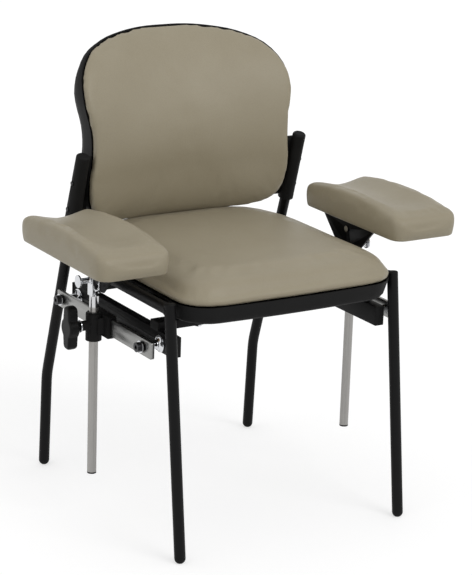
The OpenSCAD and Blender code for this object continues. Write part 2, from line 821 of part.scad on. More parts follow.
// Nylon pillars that stand between pan and board
module pan_pillars() {
    floor_z = pan_base_z + pan_wall + seat_gap;
    color(nylon) for (p = pan_screw_places) translate([p[0], p[1], floor_z])
        pipe(pan_screw_head_d / 2, pan_screw_head_d / 2 - pan_screw_d / 2 - seat_gap,
            board_z - seat_gap - floor_z);
}

module pan_screws() {
    color(steel) for (p = pan_screw_places) translate([p[0], p[1], pan_base_z - seat_gap]) {
        translate([0, 0, -pan_screw_head_h])
            cylinder(d = pan_screw_head_d, h = pan_screw_head_h, $fn = fine_fn);
        translate([0, 0, -pan_screw_head_h / 2])
            bolt_shank(pan_screw_d, board_z + pan_screw_reach - pan_base_z + pan_screw_head_h / 2);
    }
}

// Screws up through the cross tubes into the seat board
module seat_screws() {
    color(steel) for (p = seat_screw_places) translate([p[0], p[1], cross_tube_z - seat_gap]) {
        translate([0, 0, -seat_screw_head_h])
            cylinder(d = seat_screw_head_d, h = seat_screw_head_h, $fn = fine_fn);
        translate([0, 0, -seat_screw_head_h / 2])
            bolt_shank(seat_screw_d, board_z + seat_screw_reach - cross_tube_z + seat_screw_head_h / 2);
    }
}

module board_outline(half, y0, y1, front_r, rear_r) {
    for (s = [-1, 1]) {
        translate([s * (half - front_r), y0 + front_r]) circle(r = front_r, $fn = turned_fn);
        translate([s * (half - rear_r), y1 - rear_r]) circle(r = rear_r, $fn = turned_fn);
    }
    translate([front_r - half, y0]) square([2 * (half - front_r), y1 - y0 - rear_r]);
    translate([rear_r - half, y1 - 2 * rear_r]) square([2 * (half - rear_r), 2 * rear_r]);
    translate([-half, y0 + front_r]) square([2 * half, y1 - rear_r - y0 - front_r]);
}

board_half = pan_x - board_inset;
board_y0 = pan_y0 + board_inset + seat_bow;
board_y1 = pan_y1 - board_inset;
board_front_r = seat_front_r - board_inset;
board_rear_r = seat_rear_r - board_inset;

module seat_board() {
    color(ply) difference() {
        translate([0, 0, board_z]) linear_extrude(board_t)
            board_outline(board_half, board_y0, board_y1, board_front_r, board_rear_r);
        holes(pan_screw_places, pan_screw_d + 2 * running_fit, board_z,
            board_z + pan_screw_reach - over + seat_gap);
        holes(seat_screw_places, seat_screw_d + 2 * running_fit, board_z,
            board_z + seat_screw_reach - over + seat_gap);
    }
}

seat_tuck = 4;
seat_tuck_h = 16;
seat_round = 42;
crown_rings_share = [0.9, 0.72, 0.5, 0.26];
// Space round the board in the cushion
pocket_gap = 1.2;

// Crowned cushion: sides swell from the pan line, roll over the edge and rise to the middle
module seat_cushion() {
    roll_h = seat_edge_h - seat_tuck_h;
    pocket = round_loop(board_half + pocket_gap, board_y0 - pocket_gap, board_y1 + pocket_gap,
        board_front_r, board_rear_r);
    pocket_z = board_top_z + slide_gap;
    low = [for (a = [-80, -40]) lift(
        seat_loop(seat_tuck * (1 - cos(a))), cushion_z + seat_tuck_h * (1 + sin(a) / sin(80)))];
    high = [for (a = [0:15:90]) lift(
        seat_loop(seat_round * (1 - cos(a))), cushion_z + seat_tuck_h + roll_h * sin(a))];
    top = seat_loop(seat_round);
    crown = [for (s = crown_rings_share) lift(
        scaled_ring(top, seat_mid, s), cushion_z + seat_edge_h + seat_crown * (1 - s * s))];
    color(vinyl) ring_skin(
        concat([lift(pocket, pocket_z), lift(pocket, cushion_z)], low, high, crown),
        [0, seat_mid[1], pocket_z], [0, seat_mid[1], cushion_z + seat_edge_h + seat_crown]
    );
}

// Depth of the upholstered back's rim surface at a place on the back
function back_surface(x, z) = let (
    up = (z - lumbar_z) / (back_top_z - lumbar_z),
    down = (lumbar_z - z) / (lumbar_z - back_base_z)
) upright_y(lumbar_z) + lumbar_set + (z > lumbar_z ? back_lean * up * up : back_tuck * down * down)
    - back_wrap * pow(x / back_x, 2);

// Ring on the back: the outline scaled by s and drawn in by d, set forward of the rim surface
function back_ring(s, d, forward) = [for (p = back_loop) let (
    q = back_mid + (p - back_mid) * s,
    x = q[0] * (back_x - d),
    z = back_mid_z + (q[1] - back_mid[1]) * (back_h - 2 * d)
) [x, back_surface(x, z) - forward, z]];

// Ring on the rear of the shell: deeper at the sides than along the top and bottom
function shell_ring(s, d, depth_share, wall) = [for (p = back_loop) let (
    q = back_mid + (p - back_mid) * s,
    x = q[0] * (back_x - d),
    z = back_mid_z + (q[1] - back_mid[1]) * (back_h - 2 * d),
    side = min(1, 1.3 * abs(p[0])),
    fade = max(0, min(1, (shell_fade_end_share - p[1]) / shell_fade_share)),
    rim = shell_top_depth + (shell_side_depth - shell_top_depth) * side * side * fade,
    deep = shell_side_depth + (rim - shell_side_depth) * s * s
) [x, back_surface(x, z) + deep * depth_share - wall, z]];

module shell_skin() {
    rear_mid = back_surface(0, back_mid_z) + shell_side_depth;
    inner_d = shell_round + shell_wall;
    ring_skin(
        [
            shell_ring(0.45, shell_round, 1, 0),
            shell_ring(0.8, shell_round, 1, 0),
            shell_ring(1, shell_round, 1, 0),
            shell_ring(1, shell_round * 0.3, 0.7, 0),
            shell_ring(1, 0, 0.3, 0),
            back_ring(1, 0, 0),
            back_ring(1, shell_wall, 0),
            shell_ring(1, shell_wall * 1.3, 0.3, seat_gap),
            shell_ring(1, inner_d, 1, shell_wall),
            shell_ring(0.8, inner_d, 1, shell_wall),
            shell_ring(0.45, inner_d, 1, shell_wall)
        ],
        [0, rear_mid, back_mid_z], [0, rear_mid - shell_wall, back_mid_z]
    );
}

// Upright axis, from the height z upwards
module upright_place(z) {
    translate([leg_x, upright_y(z), z]) rotate([upright_lean, 0, 0]) children();
}

// Sleeve over an upright, with a rounded top and a web to the shell
module back_sleeve() {
    r = sleeve_od / 2;
    upright_place(sleeve_low_z) {
        cylinder(r1 = sleeve_low_d / 2, r2 = r, h = sleeve_len - sleeve_cap_r, $fn = turned_fn);
        rotate_extrude($fn = turned_fn) translate([0, sleeve_len - sleeve_cap_r]) intersection() {
            union() {
                translate([0, -sleeve_cap_r]) square([r - sleeve_cap_r, 2 * sleeve_cap_r]);
                translate([r - sleeve_cap_r, 0]) circle(r = sleeve_cap_r, $fn = turned_fn);
            }
            translate([0, -sleeve_cap_r]) square([r, 2 * sleeve_cap_r]);
        }
        translate([-web_w, web_back - web_t / 2, web_end])
            cube([web_w, web_t, sleeve_len - 2 * web_end - sleeve_cap_r]);
        translate([-low_web_w, web_back - web_t / 2, web_end]) cube([low_web_w, web_t, low_web_h]);
    }
}

// Rear shell of the back, moulded in one piece with the sleeves that hold it on the uprights
module back_shell() {
    bore_len = (upright_h - sleeve_low_z) / cos(upright_lean) + 2 * seat_gap;
    color(moulded_black) difference() {
        union() {
            shell_skin();
            both_sides() back_sleeve();
        }
        both_sides() upright_place(sleeve_low_z) translate([0, 0, -over])
            cylinder(r = leg_r + seat_gap, h = bore_len + over, $fn = turned_fn);
        both_sides() for (z = back_screw_zs) along_x(leg_x, upright_y(z), z) {
            cylinder(d = back_screw_d + 2 * seat_gap, h = sleeve_low_d, $fn = fine_fn);
            translate([0, 0, back_screw_seat_x(z) - leg_x])
                cylinder(d = back_screw_head_d + 2 * seat_gap, h = sleeve_low_d, $fn = fine_fn);
        }
    }
}

// Screws through the sleeves into the uprights
module back_screws() {
    color(frame_black) both_sides() for (z = back_screw_zs) {
        reach = back_sleeve_r(z) - leg_r + back_screw_reach;
        along_x(back_screw_seat_x(z) + seat_gap, upright_y(z), z) {
            cylinder(d = back_screw_head_d, h = back_screw_head_h, $fn = fine_fn);
            translate([0, 0, -reach]) bolt_shank(back_screw_d, reach + back_screw_head_h / 2);
        }
    }
}

// Curved inner panel that carries the cushion
module back_panel() {
    rear_y_mid = back_surface(0, back_mid_z) + panel_t;
    color(ply) ring_skin(
        [
            back_ring(0.5, panel_inset, -panel_t),
            back_ring(1, panel_inset, -panel_t),
            back_ring(1, panel_inset, -seat_gap),
            back_ring(0.5, panel_inset, -seat_gap)
        ],
        [0, rear_y_mid, back_mid_z], [0, rear_y_mid - panel_t + seat_gap, back_mid_z],
        flip = true
    );
}

back_crown_rings_share = [0.86, 0.6, 0.3];

module back_cushion() {
    low_t = back_edge_t * 0.4;
    roll_t = back_edge_t - low_t;
    low = [back_ring(1, back_tuck_in, slide_gap), back_ring(1, -back_swell * 0.5, low_t * 0.5)];
    high = [for (a = [0:22.5:90])
        back_ring(1, back_round * (1 - cos(a)) - back_swell, low_t + roll_t * sin(a))];
    crown = [for (s = back_crown_rings_share)
        back_ring(s, back_round - back_swell, back_edge_t + back_crown * (1 - s * s))];
    front_mid = back_surface(0, back_mid_z) - back_edge_t - back_crown;
    color(vinyl) ring_skin(
        concat(
            [back_ring(0.5, panel_inset, slide_gap), back_ring(1, panel_inset, slide_gap)],
            low, high, crown
        ),
        [0, back_surface(0, back_mid_z) - slide_gap, back_mid_z], [0, front_mid, back_mid_z]
    );
}

// Hooked block that hangs on the rail and slides along it
module clamp_block() {
    x0 = rail_in_x - rail_fit - clamp_wall;
    z0 = rail_z - rail_h / 2 - rail_fit - clamp_wall;
    z1 = rail_z + rail_h / 2 + rail_fit + clamp_wall;
    translate([0, arm_y - clamp_len / 2, 0]) difference() {
        translate([x0, 0, z0]) cube([clamp_face_x - x0, clamp_len, z1 - z0]);
        translate([rail_in_x - rail_fit, -over, z0 + clamp_wall])
            cube([rail_t + 2 * rail_fit, clamp_len + 2 * over, rail_h + 2 * rail_fit]);
        translate([x0 - over, -over, z0 + clamp_wall + hook_depth])
            cube([clamp_wall + 2 * over, clamp_len + 2 * over, rail_h + 2 * rail_fit - 2 * hook_depth]);
    }
}

// Rail clamp: block, collar for the post, ribs beside the collar, boss for the stud
module clamp() {
    rib_z = rail_z - rail_h / 2;
    color(moulded_black) difference() {
        union() {
            clamp_block();
            translate([post_x, arm_y, collar_z]) cylinder(d = collar_d, h = collar_h, $fn = turned_fn);
            along_x(post_x, arm_y, stud_z) cylinder(d = boss_d, h = boss_len, $fn = turned_fn);
            for (s = [-1, 1]) translate([clamp_face_x - over, arm_y + s * rib_reach - rib_t / 2, rib_z])
                cube([post_x - clamp_face_x + over, rib_t, rail_h]);
        }
        translate([post_x, arm_y, collar_z - over])
            cylinder(r = sleeve_r + running_fit, h = collar_h + 2 * over, $fn = turned_fn);
        along_x(post_x, arm_y, stud_z)
            cylinder(d = stud_d + 2 * running_fit, h = boss_len + over, $fn = fine_fn);
    }
}

// Threaded stud with its washer
module clamp_stud() {
    tip = sleeve_r + slide_gap;
    reach = knob_x - post_x + knob_t * stud_tip_share;
    color(bright) along_x(post_x, arm_y, stud_z) {
        translate([0, 0, tip]) bolt_shank(stud_d, reach - tip);
        translate([0, 0, boss_len + slide_gap]) cylinder(d = stud_washer_d, h = stud_washer_t, $fn = turned_fn);
    }
}

// Round middle that narrows to two wings, one up and one down
module wing_outline() {
    for (k = [-1, 1]) hull() {
        translate([k * knob_tip_x, 0]) circle(d = knob_tip_d, $fn = fine_fn);
        circle(d = knob_tip_d + knob_edge_r, $fn = fine_fn);
    }
    circle(d = knob_hub_d, $fn = turned_fn);
}

module clamp_knob() {
    color(moulded_black) along_x(knob_neck_x, arm_y, stud_z) difference() {
        union() {
            cylinder(d = knob_neck_d, h = knob_neck_h + over, $fn = turned_fn);
            translate([0, 0, knob_neck_h]) intersection() {
                linear_extrude(knob_t) wing_outline();
                rotate_extrude($fn = turned_fn) {
                    square([knob_len / 2 - knob_edge_r, knob_t]);
                    translate([0, knob_edge_r]) square([knob_len / 2, knob_t - 2 * knob_edge_r]);
                    for (z = [knob_edge_r, knob_t - knob_edge_r])
                        translate([knob_len / 2 - knob_edge_r, z]) circle(r = knob_edge_r, $fn = turned_fn);
                }
            }
        }
        translate([0, 0, -over])
            cylinder(d = stud_d + 2 * seat_gap, h = knob_neck_h + knob_t * stud_tip_share + over + seat_gap,
                $fn = fine_fn);
    }
}

// Plastic sleeve that turns in the collar while the post slides in it
module post_sleeve() {
    lip_z = collar_h + slide_gap;
    color(nylon) translate([post_x, arm_y, collar_z]) difference() {
        union() {
            cylinder(r = sleeve_r, h = lip_z + sleeve_lip_t, $fn = turned_fn);
            translate([0, 0, lip_z]) cylinder(d = sleeve_lip_d, h = sleeve_lip_t, $fn = turned_fn);
        }
        translate([0, 0, -over])
            cylinder(r = post_r + running_fit, h = lip_z + sleeve_lip_t + 2 * over, $fn = turned_fn);
    }
}

module arm_post() {
    color(steel) translate([post_x, arm_y, post_base_z]) pipe(post_r, post_wall, post_tube_h);
}

module post_plug() {
    color(nylon) translate([post_x, arm_y, post_base_z - seat_gap]) {
        translate([0, 0, -post_plug_t]) cylinder(r = post_r, h = post_plug_t, $fn = turned_fn);
        translate([0, 0, -post_plug_t / 2])
            cylinder(r = post_r - post_wall - seat_gap, h = plug_depth + post_plug_t / 2, $fn = turned_fn);
    }
}

// Post head: a block with a rounded top, a pivot hole, a lock hole and a spigot in the post
module post_head() {
    color(bright) difference() {
        union() {
            translate([post_x - head_w / 2, arm_y - head_depth / 2, head_base_z])
                cube([head_w, head_depth, pivot_z - head_base_z]);
            along_x(post_x - head_w / 2, arm_y, pivot_z)
                cylinder(r = head_round_r, h = head_w, $fn = turned_fn);
            translate([post_x, arm_y, head_base_z - head_spigot_len])
                cylinder(r = post_r - post_wall - seat_gap, h = head_spigot_len + over, $fn = turned_fn);
        }
        for (z = [pivot_z, lock_z]) along_x(post_x - head_w, arm_y, z)
            cylinder(d = bolt_d + 2 * running_fit, h = 2 * head_w, $fn = fine_fn);
        translate([post_x, arm_y - head_depth / 2 - over, head_screw_z]) rotate([-90, 0, 0])
            cylinder(d = head_screw_d + 2 * seat_gap, h = head_screw_len + over + seat_gap, $fn = fine_fn);
    }
}

module head_screw() {
    color(frame_black) translate([post_x, arm_y - head_depth / 2, head_screw_z]) rotate([-90, 0, 0])
        difference() {
            cylinder(d = head_screw_d, h = head_screw_len, $fn = fine_fn);
            translate([0, 0, -over]) cylinder(d = head_screw_d / 2, h = head_screw_len / 2 + over, $fn = 6);
        }
}

// Pivot bolt with its head on the inner face of the bracket and its nut outside the head block
module pivot_bolt() {
    reach = pivot_head_h + bracket_t + head_w + 3 * slide_gap;
    color(bright) along_x(plate_in_x - slide_gap - pivot_head_h, arm_y, pivot_z) {
        cylinder(d = pivot_head_d, h = pivot_head_h, $fn = turned_fn);
        translate([0, 0, pivot_head_h / 2]) bolt_shank(bolt_d, reach - pivot_head_h / 2 + pivot_nut_h);
        translate([0, 0, reach]) cylinder(d = pivot_head_d, h = pivot_nut_h, $fn = 6);
    }
}

// Turned spool knob with its stud
module lock_knob() {
    x0 = post_x + head_w / 2 + slide_gap;
    reach = head_w + bracket_t + 3 * slide_gap + lock_nut_t;
    color(bright) along_x(x0, arm_y, lock_z) {
        rotate_extrude($fn = turned_fn) spool_half();
        translate([0, 0, -reach]) bolt_shank(lock_stud_d, reach + spool_foot_rim);
    }
}

module spool_half() {
    disc = spool_disc_d / 2;
    neck = spool_neck_d / 2;
    foot = spool_foot_d / 2;
    out = disc - neck;
    low = foot - neck;
    waist_z = low + spool_foot_rim;
    flare_z = spool_len - spool_disc_t - out;
    difference() {
        square([disc, spool_len]);
        translate([disc, flare_z]) circle(r = out, $fn = turned_fn);
        translate([foot, waist_z]) circle(r = low, $fn = turned_fn);
        translate([foot, -over]) square([disc, waist_z + over]);
        translate([neck, waist_z]) square([disc, flare_z - waist_z]);
    }
}

module lock_nut() {
    color(bright) along_x(plate_in_x - slide_gap - lock_nut_t, arm_y, lock_z) difference() {
        cylinder(d = lock_nut_d, h = lock_nut_t, $fn = 6);
        translate([0, 0, -over])
            cylinder(d = lock_stud_d + 2 * running_fit, h = lock_nut_t + 2 * over, $fn = fine_fn);
    }
}

// Bracket: a tapering plate beside the head, folded out into a flange under the pad
module pad_bracket() {
    half = bracket_len / 2;
    foot = bracket_foot / 2;
    top = flange_z - pivot_z + bracket_t;
    color(frame_black) difference() {
        union() {
            translate([plate_in_x, arm_y, pivot_z]) rotate([90, 0, 90]) linear_extrude(bracket_t)
                polygon([
                    [-half, top], [-half, top - bracket_t - plate_end_h], [-foot, -plate_foot_drop],
                    [foot, -plate_foot_drop], [half, top - bracket_t - plate_end_h], [half, top]
                ]);
            translate([plate_in_x, arm_y - half, flange_z]) cube([flange_w, bracket_len, bracket_t]);
        }
        along_x(plate_in_x - over, arm_y, pivot_z)
            cylinder(d = bolt_d + 2 * running_fit, h = bracket_t + 2 * over, $fn = fine_fn);
        lock_slot();
        holes(pad_screw_places, pad_screw_d + 2 * bolt_gap, flange_z, pad_base_z);
    }
}

// Slot round the pivot's circle, for the lock stud to pass through at every tilt
module lock_slot() {
    w = lock_stud_d + 2 * slot_gap;
    h = bracket_t + 2 * over;
    half_turn = tilt_max / 2 + slot_spare;
    span = lock_drop * sin(half_turn);
    translate([plate_in_x - over, arm_y, pivot_z]) rotate([90, 0, 90]) rotate([0, 0, -90 - tilt_max / 2])
        translate([lock_drop * (1 + cos(half_turn)) / 2, 0, 0]) {
            translate([-w / 2, -span, 0]) cube([w, 2 * span, h]);
            for (k = [-1, 1]) translate([0, k * span, 0]) cylinder(d = w, h = h, $fn = fine_fn);
        }
}

module pad_board() {
    half = pad_w / 2 - pad_board_inset;
    color(ply) difference() {
        translate([pad_x, 0, pad_base_z]) linear_extrude(pad_board_t)
            board_outline(half, pad_y0 + pad_board_inset, pad_y1 - pad_board_inset, pad_board_r, pad_board_r);
        holes(pad_screw_places, pad_screw_d + 2 * running_fit, pad_base_z,
            pad_base_z + pad_screw_len - bracket_t - over);
    }
}

module pad_screws() {
    color(frame_black) for (p = pad_screw_places) translate([p[0], p[1], flange_z - seat_gap]) {
        translate([0, 0, -pad_screw_head_h])
            cylinder(d = pad_screw_head_d, h = pad_screw_head_h, $fn = fine_fn);
        translate([0, 0, -pad_screw_head_h / 2])
            bolt_shank(pad_screw_d, pad_screw_len + pad_screw_head_h / 2 - seat_gap);
    }
}

pad_lip_share = 0.3;
pad_tail_share = 0.4;
pad_top_rings_share = [1, 0.88, 0.72, 0.54, 0.34, 0.15];

// Arched rise of the rims, none at the ends of the pad
function pad_rise(y) = pad_arch * pow(max(0, 1 - pow(2 * (y - pad_y0) / pad_len - 1, 2)), 0.8);

// Height of the pad's top: raised rims, and a trough that ends in a lip at the front
function pad_top(x, y) = let (
    u = x / (pad_w / 2),
    lip = max(0, min(1, (y - pad_y0 - pad_edge_r) / (pad_len * pad_lip_share))),
    tail = 1 - pad_tail_share * pow(max(0, (y - pad_y0) / pad_len), 6),
    across = pow(max(0, 1 - u * u * 1.3), 1.4)
) pad_base_z + pad_h + pad_rise(y) - trough_depth * across * tail * lip * lip * (3 - 2 * lip);

function pad_loop(d) = round_loop(pad_w / 2 - d, pad_y0 + d, pad_y1 - d,
    pad_corner_r - d * 0.6, pad_corner_r - d * 0.6);
function pad_lift(ring, z) = [for (p = ring) [pad_x + p[0], p[1], z]];

// Ring at a share of the side's height, which follows the arch and the dip at the rear end
function pad_side(ring, share) = [for (p = ring)
    [pad_x + p[0], p[1], pad_base_z + share * (pad_top(p[0], p[1]) - pad_base_z)]];

// Upholstered pad, with a pocket below for its board
module arm_pad() {
    pocket = round_loop(pad_w / 2 - pad_board_inset + slide_gap, pad_y0 + pad_board_inset - slide_gap,
        pad_y1 - pad_board_inset + slide_gap, pad_board_r, pad_board_r);
    pocket_z = pad_base_z + pad_board_t + slide_gap;
    side = (pad_h - pad_edge_r) / pad_h;
    sides = [for (k = [0.25, 0.6]) pad_side(pad_loop(pad_inset * (1 - k) * (1 - k)), side * k)];
    roll = [for (a = [0:30:60]) pad_side(
        pad_loop(pad_edge_r * (1 - cos(a))), side + (1 - side) * sin(a))];
    tops = [for (k = pad_top_rings_share) [for (p = scaled_ring(pad_loop(pad_edge_r), pad_mid, k))
        [pad_x + p[0], p[1], pad_top(p[0], p[1])]]];
    color(vinyl) ring_skin(
        concat([pad_lift(pocket, pocket_z), pad_lift(pocket, pad_base_z)],
            [pad_lift(pad_loop(pad_inset), pad_base_z)], sides, roll, tops),
        [pad_x, pad_mid[1], pocket_z], [pad_x, pad_mid[1], pad_top(0, pad_mid[1])]
    );
}

front_legs();
front_leg_caps();
rear_uprights();
foot_glides();
side_rails();
cross_tubes();
arm_crossbars();
crossbar_plugs();
crossbar_spacers();
hanger_bolts();
weld_nuts();
box_tubes();
box_tube_plugs();
rail_standoffs();
accessory_rails();
rail_collars();
rail_washers();
rail_bolts();
seat_pan();
pan_pillars();
pan_screws();
seat_screws();
seat_board();
seat_cushion();
back_shell();
back_panel();
back_cushion();
back_screws();
clamp();  // clamp_left
mirror([1, 0, 0]) clamp();  // clamp_right
clamp_stud();  // clamp_stud_left
mirror([1, 0, 0]) clamp_stud();  // clamp_stud_right
clamp_knob();  // clamp_knob_left
mirror([1, 0, 0]) clamp_knob();  // clamp_knob_right
post_sleeve();  // post_sleeve_left
mirror([1, 0, 0]) post_sleeve();  // post_sleeve_right
arm_post();  // arm_post_left
mirror([1, 0, 0]) arm_post();  // arm_post_right
post_plug();  // post_plug_left
mirror([1, 0, 0]) post_plug();  // post_plug_right
post_head();  // post_head_left
mirror([1, 0, 0]) post_head();  // post_head_right
head_screw();  // head_screw_left
mirror([1, 0, 0]) head_screw();  // head_screw_right
pivot_bolt();  // pivot_bolt_left
mirror([1, 0, 0]) pivot_bolt();  // pivot_bolt_right
lock_knob();  // lock_knob_left
mirror([1, 0, 0]) lock_knob();  // lock_knob_right
lock_nut();  // lock_nut_left
mirror([1, 0, 0]) lock_nut();  // lock_nut_right
pad_bracket();  // pad_bracket_left
mirror([1, 0, 0]) pad_bracket();  // pad_bracket_right
pad_board();  // pad_board_left
mirror([1, 0, 0]) pad_board();  // pad_board_right
pad_screws();  // pad_screws_left
mirror([1, 0, 0]) pad_screws();  // pad_screws_right
arm_pad();  // arm_pad_left
mirror([1, 0, 0]) arm_pad();  // arm_pad_right
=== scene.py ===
"""Looks of the phlebotomy chair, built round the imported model. Metres; +X the sitter's left,
+Y the back, +Z up, the floor at zero."""
import json
import math

import bmesh
import bpy
import numpy as np
from mathutils import Matrix, Vector, noise
from mathutils.bvhtree import BVHTree
from mathutils.kdtree import KDTree


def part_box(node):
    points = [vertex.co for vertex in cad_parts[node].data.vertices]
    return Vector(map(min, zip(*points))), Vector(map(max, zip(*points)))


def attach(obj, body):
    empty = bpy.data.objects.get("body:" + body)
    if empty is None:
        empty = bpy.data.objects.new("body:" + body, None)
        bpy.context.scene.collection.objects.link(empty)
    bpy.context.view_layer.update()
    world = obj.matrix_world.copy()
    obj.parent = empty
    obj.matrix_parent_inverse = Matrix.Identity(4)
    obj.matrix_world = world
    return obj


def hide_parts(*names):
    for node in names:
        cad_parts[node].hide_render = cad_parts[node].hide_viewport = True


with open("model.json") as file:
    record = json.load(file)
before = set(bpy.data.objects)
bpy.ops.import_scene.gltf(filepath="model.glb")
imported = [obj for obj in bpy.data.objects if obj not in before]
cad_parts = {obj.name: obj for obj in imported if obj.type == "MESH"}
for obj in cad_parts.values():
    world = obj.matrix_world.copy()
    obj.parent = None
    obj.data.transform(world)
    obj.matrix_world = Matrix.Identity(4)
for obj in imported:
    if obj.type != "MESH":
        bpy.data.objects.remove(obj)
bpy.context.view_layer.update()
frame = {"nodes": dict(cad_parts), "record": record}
nodes = frame["nodes"]
record = frame["record"]
slot_of = {row["node"]: row["material_slot"] for row in record["subparts"]}
body_of = {node: body for body, held in record["behaviour"]["bodies"].items() for node in held}


# Shader node groups

# Most of a noise lies between these values
NOISE_LOW = 0.3
NOISE_HIGH = 0.7


class Sheet:
    """A node tree with short ways to add and join nodes."""

    def __init__(self, tree):
        self.tree = tree

    def add(self, kind, values=None, **settings):
        made = self.tree.nodes.new(kind)
        for key, value in settings.items():
            setattr(made, key, value)
        for key, value in (values or {}).items():
            self.feed(made.inputs[key], value)
        return made

    def feed(self, socket, value):
        """Links a socket to another one, or gives it a constant value."""
        if isinstance(value, bpy.types.NodeSocket):
            self.tree.links.new(value, socket)
        else:
            socket.default_value = value

    def math(self, operation, a, b, clamp=False):
        made = self.add("ShaderNodeMath", operation=operation, use_clamp=clamp)
        self.feed(made.inputs[0], a)
        self.feed(made.inputs[1], b)
        return made.outputs[0]

    def spread(self, value, low, high, new_low, new_high):
        """Maps low to high onto new_low to new_high, and holds what lies past them."""
        made = self.add("ShaderNodeMapRange", {"Value": value, "From Min": low, "From Max": high,
                                               "To Min": new_low, "To Max": new_high})
        return made.outputs["Result"]

    def share(self, value, low=NOISE_LOW, high=NOISE_HIGH):
        """From 0 at low to 1 at high."""
        return self.spread(value, low, high, 0.0, 1.0)

    def wander(self, noise_value, first, last):
        """A value that follows a noise from first to last."""
        return self.spread(noise_value, NOISE_LOW, NOISE_HIGH, first, last)

    def between(self, share, first, last):
        """The value that lies a share of the way from first to last."""
        return self.spread(share, 0.0, 1.0, first, last)

    def place(self, scale=(1, 1, 1)):
        spot = self.add("ShaderNodeTexCoord").outputs["Object"]
        return self.add("ShaderNodeMapping", {"Vector": spot, "Scale": scale}).outputs["Vector"]

    def speckle(self, vector, scale, detail=2.0, rough=0.5, warp=0.0):
        made = self.add("ShaderNodeTexNoise", {"Vector": vector, "Scale": scale, "Detail": detail,
                                               "Roughness": rough, "Distortion": warp})
        return made.outputs["Fac"]

    def mix(self, share, a, b):
        """A colour that lies a share of the way from a to b."""
        made = self.add("ShaderNodeMix", {"Factor": share}, data_type="RGBA")
        self.feed(made.inputs[6], a)
        self.feed(made.inputs[7], b)
        return made.outputs[2]


def new_group(name, inputs, outputs):
    group = bpy.data.node_groups.new(name, "ShaderNodeTree")
    for label, value in inputs:
        socket = group.interface.new_socket(label, in_out="INPUT", socket_type="NodeSocketFloat")
        socket.default_value = value
    for label in outputs:
        group.interface.new_socket(label, in_out="OUTPUT", socket_type="NodeSocketFloat")
    enter = group.nodes.new("NodeGroupInput").outputs
    leave = group.nodes.new("NodeGroupOutput").inputs
    return Sheet(group), enter, leave


def vinyl_grain_group():
    """Pebbled vinyl: small cells with fine creases between them, and slow changes of tone."""
    sheet, enter, leave = new_group("Vinyl grain", [("Cell scale", 620.0), ("Crease share", 0.35)],
                                    ["Height", "Tone", "Hollows"])
    spot = sheet.place()
    stray = sheet.add("ShaderNodeTexNoise", {"Vector": spot, "Scale": 160.0, "Detail": 1.0})
    bent = sheet.add("ShaderNodeMixRGB", {"Fac": 0.004, "Color1": spot,
                                          "Color2": stray.outputs["Color"]}, blend_type="ADD")
    cells = sheet.add("ShaderNodeTexVoronoi", {"Vector": bent.outputs[0],
                                               "Scale": enter["Cell scale"]},
                      feature="DISTANCE_TO_EDGE")
    pebble = sheet.share(cells.outputs["Distance"], 0.0, 0.22)
    fold = sheet.share(sheet.speckle(spot, 95.0, 4.0, 0.55, 0.6), 0.35, 0.62)
    blend = sheet.math("MULTIPLY", fold, enter["Crease share"])
    sheet.feed(leave["Height"], sheet.math("ADD", pebble, blend))
    sheet.feed(leave["Tone"], sheet.speckle(spot, 11.0, 3.0, 0.5, 0.2))
    # Hollows marks the creases between the cells; the vinyl uses it for painted shade in its
    # colour and for a rougher skin
    sheet.feed(leave["Hollows"], sheet.math("SUBTRACT", 1.0, pebble, clamp=True))
    return sheet.tree


def moulded_grain_group():
    """Spark eroded skin of moulded plastic."""
    sheet, enter, leave = new_group("Moulded grain", [("Grain scale", 900.0)],
                                    ["Height", "Mottle"])
    spot = sheet.place()
    fine = sheet.speckle(spot, enter["Grain scale"], 2.0, 0.6)
    pits = sheet.add("ShaderNodeTexVoronoi", {"Vector": spot, "Scale": enter["Grain scale"]})
    sheet.feed(leave["Height"], sheet.math("MULTIPLY", fine, pits.outputs["Distance"]))
    sheet.feed(leave["Mottle"], sheet.speckle(spot, 23.0, 3.0, 0.55))
    return sheet.tree


def handling_group():
    """Faint smears and rubbed places, from soft clouds and fine scratches."""
    sheet, enter, leave = new_group("Handling marks", [("Amount", 0.5)], ["Smears", "Scratches"])
    cloud = sheet.share(sheet.speckle(sheet.place(), 17.0, 4.0, 0.6, 0.4), 0.42, 0.7)
    streak = sheet.speckle(sheet.place((900, 90, 400)), 1.0, 2.0, 0.7)
    lines = sheet.share(streak, 0.62, 0.74)
    sheet.feed(leave["Smears"], sheet.math("MULTIPLY", cloud, enter["Amount"], clamp=True))
    sheet.feed(leave["Scratches"], sheet.math("MULTIPLY", lines, enter["Amount"], clamp=True))
    return sheet.tree


def drawn_lines_group():
    """Fine lines left by rolling or brushing, along one axis of the piece."""
    sheet, enter, leave = new_group(
        "Drawn lines", [("Across X", 900.0), ("Across Y", 900.0), ("Across Z", 900.0)],
        ["Lines", "Clouds"])
    spot = sheet.add("ShaderNodeTexCoord").outputs["Object"]
    sizes = sheet.add("ShaderNodeCombineXYZ", {"X": enter["Across X"], "Y": enter["Across Y"],
                                               "Z": enter["Across Z"]})
    stretched = sheet.add("ShaderNodeVectorMath", operation="MULTIPLY")
    sheet.feed(stretched.inputs[0], spot)
    sheet.feed(stretched.inputs[1], sizes.outputs[0])
    sheet.feed(leave["Lines"], sheet.speckle(stretched.outputs[0], 1.0, 3.0, 0.65))
    sheet.feed(leave["Clouds"], sheet.speckle(spot, 31.0, 2.0, 0.5))
    return sheet.tree


vinyl_grain = vinyl_grain_group()
moulded_grain = moulded_grain_group()
handling = handling_group()
drawn_lines = drawn_lines_group()


# Materials

def new_finish(name, **settings):
    """A material with a Principled shader; settings are constant values of its sockets."""
    made = bpy.data.materials.new(name)
    made.use_nodes = True
    shader = made.node_tree.nodes["Principled BSDF"]
    for key, value in settings.items():
        shader.inputs[key.replace("_", " ")].default_value = value
    return made, Sheet(made.node_tree), shader.inputs


